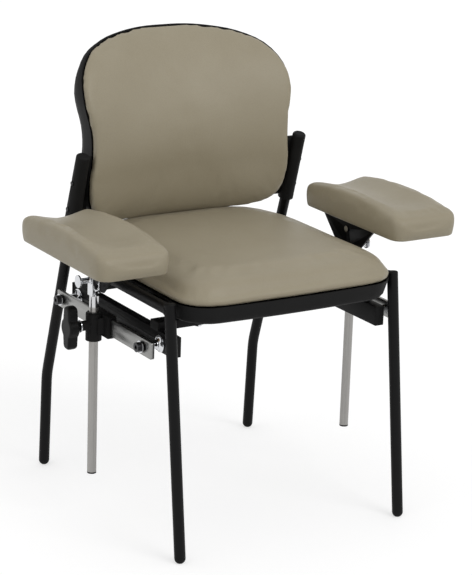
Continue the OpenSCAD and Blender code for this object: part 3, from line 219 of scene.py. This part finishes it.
def use(sheet, group, **values):
    """Places a node group in a material with its own values."""
    made = sheet.add("ShaderNodeGroup")
    made.node_tree = group
    for key, value in values.items():
        sheet.feed(made.inputs[key.replace("_", " ")], value)
    return made.outputs


def bump(sheet, height, distance, strength):
    made = sheet.add("ShaderNodeBump", {"Height": height, "Distance": distance,
                                        "Strength": strength})
    return made.outputs["Normal"]


def taupe_vinyl():
    made, sheet, into = new_finish("Taupe vinyl", Specular_IOR_Level=0.44, Sheen_Weight=0.05,
                                   Sheen_Roughness=0.45)
    grain = use(sheet, vinyl_grain)
    base = sheet.mix(sheet.share(grain["Tone"]), (0.294, 0.256, 0.176, 1),
                     (0.317, 0.278, 0.196, 1))
    # Painted shade: the creases between the pebbles are darkened towards a deeper taupe, as shade
    # would darken them
    crease_shade = sheet.math("MULTIPLY", grain["Hollows"], 0.35)
    sheet.feed(into["Base Color"], sheet.mix(crease_shade, base, (0.215, 0.186, 0.130, 1)))
    sheet.feed(into["Roughness"], sheet.between(grain["Hollows"], 0.37, 0.54))
    sheet.feed(into["Normal"], bump(sheet, grain["Height"], 0.00016, 0.5))
    return made


def powder_coat():
    """Powder coated tube: a slight orange peel under a satin skin, rubbed in places."""
    made, sheet, into = new_finish("Black powder coat", Specular_IOR_Level=0.12,
                                   Coat_Roughness=0.25)
    marks = use(sheet, handling, Amount=0.6)
    peel = sheet.speckle(sheet.place(), 420.0, 2.0, 0.5)
    sheet.feed(into["Base Color"], sheet.mix(marks["Smears"], (0.0042, 0.0042, 0.0044, 1),
                                             (0.0062, 0.0062, 0.0065, 1)))
    sheet.feed(into["Roughness"], sheet.between(marks["Smears"], 0.44, 0.54))
    sheet.feed(into["Coat Weight"], sheet.between(marks["Scratches"], 0.03, 0.005))
    sheet.feed(into["Normal"], bump(sheet, peel, 0.00008, 0.6))
    return made


def black_plastic(name, grain_scale, low, high, smooth, rough, depth):
    """Moulded plastic with a fine grain and faint smears."""
    made, sheet, into = new_finish(name, Specular_IOR_Level=0.12)
    grain = use(sheet, moulded_grain, Grain_scale=grain_scale)
    marks = use(sheet, handling, Amount=0.5)
    tone = sheet.mix(sheet.share(grain["Mottle"]), low, high)
    smeared = sheet.math("MULTIPLY", marks["Smears"], 0.3)
    sheet.feed(into["Base Color"], sheet.mix(smeared, tone, (0.020, 0.0195, 0.019, 1)))
    sheet.feed(into["Roughness"], sheet.wander(grain["Mottle"], smooth, rough))
    sheet.feed(into["Normal"], bump(sheet, grain["Height"], depth, 0.7))
    return made


def plated(name, low, high, smooth, rough):
    """Bright plating with faint smears."""
    made, sheet, into = new_finish(name, Metallic=1.0)
    marks = use(sheet, handling, Amount=0.9)
    sheet.feed(into["Base Color"], sheet.mix(marks["Smears"], high, low))
    smeared = sheet.between(marks["Smears"], smooth, rough)
    scratched = sheet.math("MULTIPLY", marks["Scratches"], 0.08)
    sheet.feed(into["Roughness"], sheet.math("ADD", smeared, scratched))
    sheet.feed(into["Normal"], bump(sheet, marks["Scratches"], 0.00002, 0.25))
    return made


def rail_steel():
    """Polished steel with fine lines along its length."""
    made, sheet, into = new_finish("Polished rail steel", Metallic=1.0)
    lines = use(sheet, drawn_lines, Across_X=900.0, Across_Y=7.0, Across_Z=900.0)
    tone = sheet.share(lines["Lines"])
    sheet.feed(into["Base Color"], sheet.mix(tone, (0.26, 0.26, 0.253, 1),
                                             (0.30, 0.30, 0.292, 1)))
    wide = sheet.wander(lines["Clouds"], 0.25, 0.29)
    lined = sheet.math("MULTIPLY", tone, 0.06)
    sheet.feed(into["Roughness"], sheet.math("ADD", wide, lined))
    sheet.feed(into["Normal"], bump(sheet, lines["Lines"], 0.000003, 0.5))
    return made


# Heights at which the posts' polished upper end starts and is fully bright
POLISH_STARTS = 0.442
POLISH_FULL = 0.446


def post_steel():
    """Satin steel whose upper end, under the pad, is polished bright."""
    made, sheet, into = new_finish("Satin post steel", Metallic=1.0)
    lines = use(sheet, drawn_lines, Across_X=700.0, Across_Y=700.0, Across_Z=6.0)
    tone = sheet.share(lines["Lines"])
    spot = sheet.add("ShaderNodeSeparateXYZ", {"Vector": sheet.place()})
    bright = sheet.share(spot.outputs["Z"], POLISH_STARTS, POLISH_FULL)
    satin = sheet.mix(tone, (0.30, 0.292, 0.28, 1), (0.36, 0.352, 0.338, 1))
    sheet.feed(into["Base Color"], sheet.mix(bright, satin, (0.60, 0.60, 0.61, 1)))
    wide = sheet.wander(lines["Clouds"], 0.32, 0.40)
    shiny = sheet.math("MULTIPLY", wide, sheet.between(bright, 1.0, 0.35))
    lined = sheet.math("MULTIPLY", tone, 0.03)
    sheet.feed(into["Roughness"], sheet.math("ADD", shiny, lined))
    sheet.feed(into["Normal"], bump(sheet, lines["Lines"], 0.00002, 0.5))
    return made


def layered_ply():
    made, sheet, into = new_finish("Birch ply", Specular_IOR_Level=0.3)
    lines = use(sheet, drawn_lines, Across_X=140.0, Across_Y=9.0, Across_Z=700.0)
    sheet.feed(into["Base Color"], sheet.mix(sheet.share(lines["Lines"]),
                                             (0.40, 0.25, 0.12, 1), (0.60, 0.42, 0.24, 1)))
    sheet.feed(into["Roughness"], sheet.wander(lines["Clouds"], 0.6, 0.75))
    sheet.feed(into["Normal"], bump(sheet, lines["Lines"], 0.0001, 0.4))
    return made


finishes = {
    "vinyl": taupe_vinyl(),
    "frame_black": powder_coat(),
    "black_steel": plated(
        "Blackened steel", low=(0.030, 0.030, 0.032, 1), high=(0.045, 0.045, 0.048, 1),
        smooth=0.30, rough=0.42),
    "moulded_black": black_plastic(
        "Grained black plastic", grain_scale=800.0, low=(0.0075, 0.0075, 0.0076, 1),
        high=(0.0100, 0.0099, 0.0098, 1), smooth=0.60, rough=0.68, depth=0.00010),
    "knob_black": black_plastic(
        "Knob plastic", grain_scale=1100.0, low=(0.005, 0.005, 0.0052, 1),
        high=(0.0068, 0.0068, 0.007, 1), smooth=0.36, rough=0.46, depth=0.00006),
    "nylon": black_plastic(
        "Nylon", grain_scale=1500.0, low=(0.0085, 0.0085, 0.009, 1),
        high=(0.012, 0.012, 0.0125, 1), smooth=0.34, rough=0.42, depth=0.00003),
    "bright": plated(
        "Bright plating", low=(0.54, 0.55, 0.57, 1), high=(0.66, 0.67, 0.69, 1),
        smooth=0.07, rough=0.17),
    "polished": rail_steel(),
    "steel": post_steel(),
    "ply": layered_ply(),
}
for name, piece in nodes.items():
    for holder in piece.material_slots:
        holder.material = finishes[slot_of[name]]


# Ways to copy and move a piece

def lone(piece):
    """Selects one piece only."""
    bpy.ops.object.select_all(action="DESELECT")
    piece.select_set(True)
    bpy.context.view_layer.objects.active = piece


def apply_all(piece):
    lone(piece)
    for modifier in list(piece.modifiers):
        bpy.ops.object.modifier_apply(modifier=modifier.name)


def coat(piece, slot):
    """Gives a piece one finish and leaves it selected."""
    piece.data.materials.clear()
    piece.data.materials.append(finishes[slot])
    lone(piece)


def copy_of_node(node, name):
    """A copy of a CAD node with its touching corners merged."""
    same_corner = 0.00002
    mesh = nodes[node].data.copy()
    piece = bpy.data.objects.new(name, mesh)
    bpy.context.scene.collection.objects.link(piece)
    faces = bmesh.new()
    faces.from_mesh(mesh)
    bmesh.ops.remove_doubles(faces, verts=faces.verts, dist=same_corner)
    bmesh.ops.recalc_face_normals(faces, faces=faces.faces)
    faces.to_mesh(mesh)
    faces.free()
    return piece


def mirrored(piece, name):
    """The other side's piece, with its own mesh and its faces turned outwards again."""
    other = bpy.data.objects.new(name, piece.data.copy())
    bpy.context.scene.collection.objects.link(other)
    other.data.transform(Matrix.Scale(-1, 4, (1, 0, 0)))
    other.data.flip_normals()
    return other


def rows_of(piece):
    """Place and normal of every vertex, read before any of them moves."""
    return [(v.co.copy(), v.normal.copy()) for v in piece.data.vertices]


def place_all(piece, places):
    piece.data.vertices.foreach_set("co", [value for place in places for value in place])
    piece.data.update()


def move(piece, step):
    """Moves each vertex by the vector that step(place, normal) gives."""
    place_all(piece, [place + step(place, normal) for place, normal in rows_of(piece)])


def shift(piece, amount):
    """Moves each vertex along its normal by what amount(place, normal) gives."""
    move(piece, lambda place, normal: normal * amount(place, normal))


def rise(value, low, high):
    """From 0 at low to 1 at high, with soft ends."""
    share = min(1.0, max(0.0, (value - low) / (high - low)))
    return share * share * (3 - 2 * share)


def ripple(spot, scale, amount):
    """Slow waves of a given number per metre and height."""
    return amount * noise.noise(spot * scale)


# Upholstery

def add_smoothing(piece, times, group=""):
    """Smoothing of a whole piece, or of one group of its vertices, still to be applied."""
    even = piece.modifiers.new("Even", "SMOOTH")
    even.factor = 0.5
    even.iterations = times
    even.vertex_group = group


def remeshed(piece, voxel, times, restored=0.0012):
    """An even net over a piece, smoothed, and moved out by what smoothing took off."""
    net = piece.modifiers.new("Net", "REMESH")
    net.mode = "VOXEL"
    net.voxel_size = voxel
    apply_all(piece)
    add_smoothing(piece, times)
    apply_all(piece)
    shift(piece, lambda place, normal: restored)


def soften(piece, where, times):
    """Rounds part of a piece over, as foam under a stretched cover does."""
    group = piece.vertex_groups.new(name="Rounded")
    group.add([v.index for v in piece.data.vertices if where(v.co)], 1.0, "REPLACE")
    add_smoothing(piece, times, group.name)
    apply_all(piece)
    piece.vertex_groups.clear()


def stretched_cover(piece, pinned):
    """A light cloth over foam that presses outwards; the pinned group stays where it is."""
    cover = piece.modifiers.new("Cover", "CLOTH")
    cover.settings.quality = 4
    cover.settings.mass = 0.3
    cover.settings.tension_stiffness = 18
    cover.settings.compression_stiffness = 18
    cover.settings.shear_stiffness = 8
    cover.settings.bending_stiffness = 2.0
    cover.settings.use_pressure = True
    cover.settings.uniform_pressure_force = 4.0
    cover.settings.vertex_group_mass = pinned
    cover.settings.effector_weights.gravity = 0
    return cover


def plump(piece, held, inset, cap):
    """Draws the form in, lets foam pressure swell the cover, and caps how far it may swell."""
    rows = rows_of(piece)
    free = [not held(place, normal) for place, normal in rows]
    drawn = [place - normal * inset if loose else place
             for (place, normal), loose in zip(rows, free)]
    place_all(piece, drawn)
    pins = piece.vertex_groups.new(name="Held")
    pins.add([i for i, loose in enumerate(free) if not loose], 1.0, "REPLACE")
    cover = stretched_cover(piece, pins.name)
    last_frame = 20
    cover.point_cache.frame_start = 1
    cover.point_cache.frame_end = last_frame
    scene = bpy.context.scene
    for moment in range(1, last_frame + 1):
        scene.frame_set(moment)
    seen = piece.evaluated_get(bpy.context.evaluated_depsgraph_get())
    swollen = [v.co.copy() for v in seen.data.vertices]
    piece.modifiers.remove(cover)
    scene.frame_set(1)
    steps = [after - before for after, before in zip(swollen, drawn)]
    place_all(piece, [before + step * min(1.0, cap / max(step.length, 1e-9))
                      for before, step in zip(drawn, steps)])
    piece.vertex_groups.clear()


def tuck(piece, node):
    """Keeps a soft piece just clear of the hard one that holds it."""
    reach, clearance, sunk = 0.004, 0.0007, 0.0025
    hard = nodes[node].data
    skin = BVHTree.FromPolygons([v.co for v in hard.vertices],
                                [tuple(face.vertices) for face in hard.polygons])
    places = []
    for place, normal in rows_of(piece):
        hit, facing = skin.find_nearest(place, reach)[:2]
        if hit is not None:
            depth = (place - hit).dot(facing)
            if depth < clearance and facing.dot(normal) < 0.3:
                place = place + facing * (clearance - depth)
            elif depth < 0:
                place = place - normal * sunk
        places.append(place)
    place_all(piece, places)


def finish_cushion(piece, body, node, holder=None, even=4):
    """Smooths and covers a cushion, and puts it in the CAD cushion's place."""
    add_smoothing(piece, even)
    finer = piece.modifiers.new("Finer", "SUBSURF")
    finer.levels = 1
    finer.render_levels = 1
    apply_all(piece)
    if holder:
        tuck(piece, holder)
    coat(piece, "vinyl")
    bpy.ops.object.shade_smooth()
    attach(piece, body)
    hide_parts(node)


# Spacing of the nets over the foam
CUSHION_NET = 0.006
PAD_NET = 0.0045


def seat():
    piece = copy_of_node("seat_cushion", "seat_upholstery")
    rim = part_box("seat_cushion")[0][2]
    # The pan holds the cover up to here
    gripped = rim + 0.014
    remeshed(piece, CUSHION_NET, times=3)
    soften(piece, lambda place: place.z > gripped, times=60)
    plump(piece, lambda place, normal: place.z < gripped or normal.z < -0.5,
          inset=0.0035, cap=0.0042)

    def pulls(place, normal):
        """Small gathers just above the pan, and a slow unevenness on top."""
        untouched, gathers = 0.004, 0.012
        height = place.z - rim
        if height < untouched:
            return 0.0
        near = math.exp(-((height - gathers) / gathers) ** 2)
        return ripple(place, 38.0, 0.0007) * near + ripple(place, 9.0, 0.0008)

    def full_rear(place, normal):
        """The rear of the cushion is full, right up to the back."""
        at_rear = rise(place.y, 0.12, 0.20)
        at_top = rise(place.z, rim + 0.012, rim + 0.045)
        return Vector((0, 0, 0.008 * at_rear * at_top))

    shift(piece, pulls)
    move(piece, full_rear)
    finish_cushion(piece, "frame", "seat_cushion", holder="seat_pan")


def back():
    piece = copy_of_node("back_cushion", "back_upholstery")
    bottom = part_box("back_cushion")[0][2]
    remeshed(piece, CUSHION_NET, times=3)
    plump(piece, lambda place, normal: normal.y > 0.25, inset=0.003, cap=0.0036)

    def unevenness(place, normal):
        return ripple(place, 8.0, 0.0008) if normal.y < 0 else 0.0

    def inside_rim(place, normal):
        """The sides stay just inside the shell's rim."""
        return -0.0015 * (1 - min(1.0, abs(normal.y) / 0.85) ** 2)

    def full_edge(place, normal):
        """The lower edge is full and comes down to the seat."""
        at_bottom = rise(-place.z, -bottom - 0.115, -bottom - 0.01)
        in_front = rise(-normal.y, -0.5, 0.0)
        return Vector((0, -0.012, -0.006)) * at_bottom * in_front

    shift(piece, unevenness)
    shift(piece, inside_rim)
    move(piece, full_edge)
    finish_cushion(piece, "frame", "back_cushion")


def pads():
    piece = copy_of_node("arm_pad_left", "arm_pad_upholstery_left")
    remeshed(piece, PAD_NET, times=2, restored=0.0009)
    plump(piece, lambda place, normal: normal.z < -0.6, inset=0.0015, cap=0.0022)
    other = mirrored(piece, "arm_pad_upholstery_right")
    finish_cushion(piece, "arm_left", "arm_pad_left", even=3)
    finish_cushion(other, "arm_right", "arm_pad_right", even=3)


seat()
back()
pads()


# Hard pieces with eased edges

def crown_rear(piece):
    """Gives the middle of the shell's rear, a fan of flat faces in the CAD, an even curve."""
    rows, fan_edges = 8, 60
    rear = bmesh.new()
    rear.from_mesh(piece.data)
    fans = (v for v in rear.verts if len(v.link_edges) > fan_edges)
    apex = max(fans, key=lambda v: v.co.y)
    top = apex.co.copy()
    rim = [edge.other_vert(apex) for edge in apex.link_edges]
    corners = []
    for face in apex.link_faces:
        turn = list(face.verts)
        start = turn.index(apex)
        corners.append((turn[(start + 1) % 3], turn[(start + 2) % 3]))
    bmesh.ops.delete(rear, geom=list(apex.link_edges), context="EDGES")
    middle = rear.verts.new(top)
    ladders = {}
    for vert in rim:
        arm = vert.co - top
        across = min(rim, key=lambda v: (v.co - top + arm).length)
        tilt = (vert.co.y - across.co.y) / 2
        bow = (vert.co.y + across.co.y) / 2 - top.y
        steps = [middle]
        for k in range(1, rows):
            t = k / rows
            spot = (top.x + arm.x * t, top.y + tilt * t + bow * t * t, top.z + arm.z * t)
            steps.append(rear.verts.new(spot))
        ladders[vert] = steps + [vert]
    for a, b in corners:
        left, right = ladders[a], ladders[b]
        rear.faces.new((middle, left[1], right[1]))
        for k in range(1, rows):
            rear.faces.new((left[k], left[k + 1], right[k + 1], right[k]))
    rear.to_mesh(piece.data)
    rear.free()


def even_rear(piece):
    """Evens the shell's rear between its rims, where the CAD's flat faces would show as
    creases."""
    half_width, bottom, top = 0.222, 0.556, 0.925
    middle_z, x_unit, z_unit = 0.74, 0.2, 0.18
    deepest = 0.002
    kept_rim, full_share = 0.008, 0.040
    rows = rows_of(piece)
    rear = [i for i, (place, normal) in enumerate(rows)
            if normal.y > 0.75 and abs(place.x) < half_width and bottom < place.z < top]
    turned = [place for place, normal in rows if normal.y < 0.5]
    edge = KDTree(len(turned))
    for i, place in enumerate(turned):
        edge.insert(place, i)
    edge.balance()

    def terms(place):
        x, z = place.x / x_unit, (place.z - middle_z) / z_unit
        return [1, z, z ** 2, z ** 3, z ** 4, x ** 2, x ** 2 * z, x ** 2 * z ** 2, x ** 4,
                x ** 4 * z]

    table = np.array([terms(rows[i][0]) for i in rear])
    depths = np.array([rows[i][0].y for i in rear])
    shape = np.linalg.lstsq(table, depths, rcond=None)[0]
    places = [place for place, normal in rows]
    for i in rear:
        place = places[i]
        even = max(float(np.dot(terms(place), shape)), place.y - deepest)
        share = rise(edge.find(place)[2], kept_rim, full_share)
        places[i] = Vector((place.x, place.y + (even - place.y) * share, place.z))
    place_all(piece, places)


SHARP = math.radians(35.0)


def eased(node, radius):
    """A copy of a CAD node with merged faces and small rounds on its sharp edges."""
    piece = copy_of_node(node, "dressed_" + node)
    if node == "back_shell":
        crown_rear(piece)
        even_rear(piece)
    if radius > 0:
        rounds = piece.modifiers.new("Rounds", "BEVEL")
        rounds.width = radius
        rounds.segments = 2
        rounds.limit_method = "ANGLE"
        rounds.angle_limit = SHARP
        rounds.use_clamp_overlap = True
        rounds.harden_normals = False
        apply_all(piece)
    coat(piece, slot_of[node])
    bpy.ops.object.shade_smooth_by_angle(angle=SHARP)
    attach(piece, body_of[node])
    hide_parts(node)


# Rounds in metres; at 0.0 a piece keeps its edges and only its faces are smoothed
EDGE_RADII = {
    "back_shell": 0.0,
    "seat_pan": 0.0,
    "box_tubes": 0.0012,
    "arm_crossbars": 0.0012,
    "box_tube_plugs": 0.0010,
    "crossbar_plugs": 0.0010,
    "accessory_rails": 0.0007,
    "clamp_left": 0.0010,
    "clamp_right": 0.0010,
    "pad_bracket_left": 0.0,
    "pad_bracket_right": 0.0,
    "post_head_left": 0.0006,
    "post_head_right": 0.0006,
}
for node, radius in EDGE_RADII.items():
    eased(node, radius)


def moulded_knob(side):
    """The winged knob with its corners rounded over, as it comes from the mould."""
    node = "clamp_knob_" + side
    piece = copy_of_node(node, "dressed_" + node)
    remeshed(piece, voxel=0.0011, times=22, restored=0.0006)
    coat(piece, "knob_black")
    bpy.ops.object.shade_smooth()
    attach(piece, body_of[node])
    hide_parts(node)


for side in ("left", "right"):
    moulded_knob(side)


# Weld beads

TUBE_R = 0.0111
BEAD_R = 0.0016
# The coped rails end this far from the middle of the legs
COPE = 0.0015
FRONT_SLOPE = math.tan(math.radians(7.2))
UPRIGHT_SLOPE = math.tan(math.radians(16.9))
CROSSBAR_W = 0.030
BOX_W = 0.0205


def bead(name, spots, closed):
    """A rippled run of weld along a line of spots."""
    path = bpy.data.curves.new(name, "CURVE")
    path.dimensions = "3D"
    path.bevel_depth = BEAD_R
    path.bevel_resolution = 3
    path.use_fill_caps = True
    run = path.splines.new("POLY")
    run.points.add(len(spots) - 1)
    for i, spot in enumerate(spots):
        wave = 0.16 * math.cos(i * math.pi)
        run.points[i].co = (*spot, 1.0)
        run.points[i].radius = 1.0 + wave + 0.1 * noise.noise(Vector(spot) * 300)
    run.use_cyclic_u = closed
    piece = bpy.data.objects.new(name, path)
    bpy.context.scene.collection.objects.link(piece)
    lone(piece)
    bpy.ops.object.convert(target="MESH")
    piece.data.materials.append(finishes["frame_black"])
    bpy.ops.object.shade_smooth()
    return piece


def saddle(center, lean_slope, toward):
    """Spots round a level tube where it meets a leaning one of the same size."""
    count = 40
    spots = []
    for k in range(count):
        turn = 2 * math.pi * k / count
        x = TUBE_R * math.cos(turn)
        z = TUBE_R * math.sin(turn)
        side = math.sqrt(max(0.0, TUBE_R * TUBE_R - x * x)) * math.hypot(1, lean_slope)
        spots.append((center[0] + x, center[1] - lean_slope * z + toward * side, center[2] + z))
    return spots


def welds():
    """Beads where the side rails meet the legs and where the crossbars rest on the box tubes."""
    bead_spots, bead_inset = 12, 0.001
    bead_step = BOX_W / (bead_spots + 1)
    low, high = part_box("side_rails")
    rail_z = (low[2] + high[2]) / 2
    leg_x = high[0] - TUBE_R
    bar_low, bar_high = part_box("arm_crossbars")
    bar_edges = (bar_low[1], bar_low[1] + CROSSBAR_W, bar_high[1] - CROSSBAR_W, bar_high[1])
    made = []
    for side in (-1, 1):
        front = (side * leg_x, low[1] - COPE, rail_z)
        rear = (side * leg_x, high[1] + COPE, rail_z)
        made.append(bead("weld_a", saddle(front, -FRONT_SLOPE, 1), True))
        made.append(bead("weld_b", saddle(rear, UPRIGHT_SLOPE, -1), True))
        for y in bar_edges:
            spots = [(side * (bar_high[0] - bead_inset - k * bead_step), y, bar_low[2])
                     for k in range(bead_spots)]
            made.append(bead("weld_c", spots, False))
    lone(made[0])
    for piece in made:
        piece.select_set(True)
    bpy.ops.object.join()
    made[0].name = "weld_beads"
    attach(made[0], "frame")


welds()


# Floor, light and camera

FLOOR_WIDTH = 60.0
FLOOR_LIT = 0.52
FLOOR_GLOW = 0.56
SKY_LIGHT = 0.79
SKY_SEEN = 1.0
SKY_IN_GLOSS = 0.7


def backdrop_finish():
    """Pale floor: lit matt paper that the camera, gloss and glass see almost white."""
    made = bpy.data.materials.new("Pale floor")
    made.use_nodes = True
    sheet = Sheet(made.node_tree)
    tree = made.node_tree
    tree.nodes.remove(tree.nodes["Principled BSDF"])
    matt = sheet.add("ShaderNodeBsdfDiffuse", {"Color": (FLOOR_LIT, FLOOR_LIT, FLOOR_LIT, 1)})
    glow = sheet.add("ShaderNodeEmission", {"Color": (1, 1, 1, 1), "Strength": FLOOR_GLOW})
    none = sheet.add("ShaderNodeEmission", {"Color": (0, 0, 0, 1), "Strength": 0.0})
    path = sheet.add("ShaderNodeLightPath").outputs
    seen = sheet.math("MAXIMUM", path["Is Camera Ray"], path["Is Glossy Ray"])
    seen = sheet.math("MAXIMUM", seen, path["Is Transmission Ray"])
    chosen = sheet.add("ShaderNodeMixShader", {"Fac": seen})
    sheet.feed(chosen.inputs[1], none.outputs[0])
    sheet.feed(chosen.inputs[2], glow.outputs[0])
    total = sheet.add("ShaderNodeAddShader")
    sheet.feed(total.inputs[0], matt.outputs[0])
    sheet.feed(total.inputs[1], chosen.outputs[0])
    sheet.feed(tree.nodes["Material Output"].inputs["Surface"], total.outputs[0])
    return made


def stage():
    bpy.ops.object.select_all(action="DESELECT")
    bpy.ops.mesh.primitive_plane_add(size=FLOOR_WIDTH, location=(0, 0, 0))
    floor = bpy.context.object
    floor.name = "floor"
    floor.data.materials.append(backdrop_finish())


def sky():
    """An even white sky that lights a little less than the camera sees of it."""
    world = bpy.data.worlds.new("Studio")
    bpy.context.scene.world = world
    world.use_nodes = True
    sheet = Sheet(world.node_tree)
    back = world.node_tree.nodes["Background"].inputs
    back["Color"].default_value = (1, 1, 1, 1)
    path = sheet.add("ShaderNodeLightPath").outputs
    seen = sheet.math("MAXIMUM", path["Is Camera Ray"], path["Is Transmission Ray"])
    lit = sheet.between(seen, SKY_LIGHT, SKY_SEEN)
    in_gloss = sheet.math("MULTIPLY", path["Is Glossy Ray"], SKY_IN_GLOSS)
    sheet.feed(back["Strength"], sheet.math("MAXIMUM", lit, in_gloss))


def sun(name, place, aim, power, width):
    """A far lamp that shines from place towards aim; width is its angle in degrees."""
    data = bpy.data.lights.new(name, "SUN")
    data.energy = power
    data.angle = math.radians(width)
    holder = bpy.data.objects.new(name, data)
    bpy.context.scene.collection.objects.link(holder)
    holder.location = place
    holder.rotation_euler = (Vector(aim) - Vector(place)).to_track_quat("-Z", "Y").to_euler()


def camera():
    """The place and lens that were solved from the photograph."""
    right = Vector((0.85400878, -0.51927801, 0.0319272))
    up = Vector((0.12306751, 0.26126184, 0.95739054))
    away = Vector((-0.50549321, -0.81369072, 0.28702616))
    place = (-2.19194378, -3.57946251, 1.69739179)
    data = bpy.data.cameras.new("Camera")
    data.sensor_width = 36.0
    data.sensor_fit = "VERTICAL"
    data.sensor_height = 36.0
    data.lens = 135.36
    data.clip_end = 100.0
    holder = bpy.data.objects.new("Camera", data)
    bpy.context.scene.collection.objects.link(holder)
    turn = Matrix((right, up, away)).transposed().to_4x4()
    holder.matrix_world = Matrix.Translation(place) @ turn
    bpy.context.scene.camera = holder


stage()
sky()
sun("key", place=(0.6, -1.75, 1.8), aim=(0, 0, 0.4), power=0.80, width=32)
sun("fill", place=(-2.4, -1.0, 1.4), aim=(0, 0, 0.5), power=0.25, width=70)
camera()
bpy.context.scene.view_settings.view_transform = "Standard"
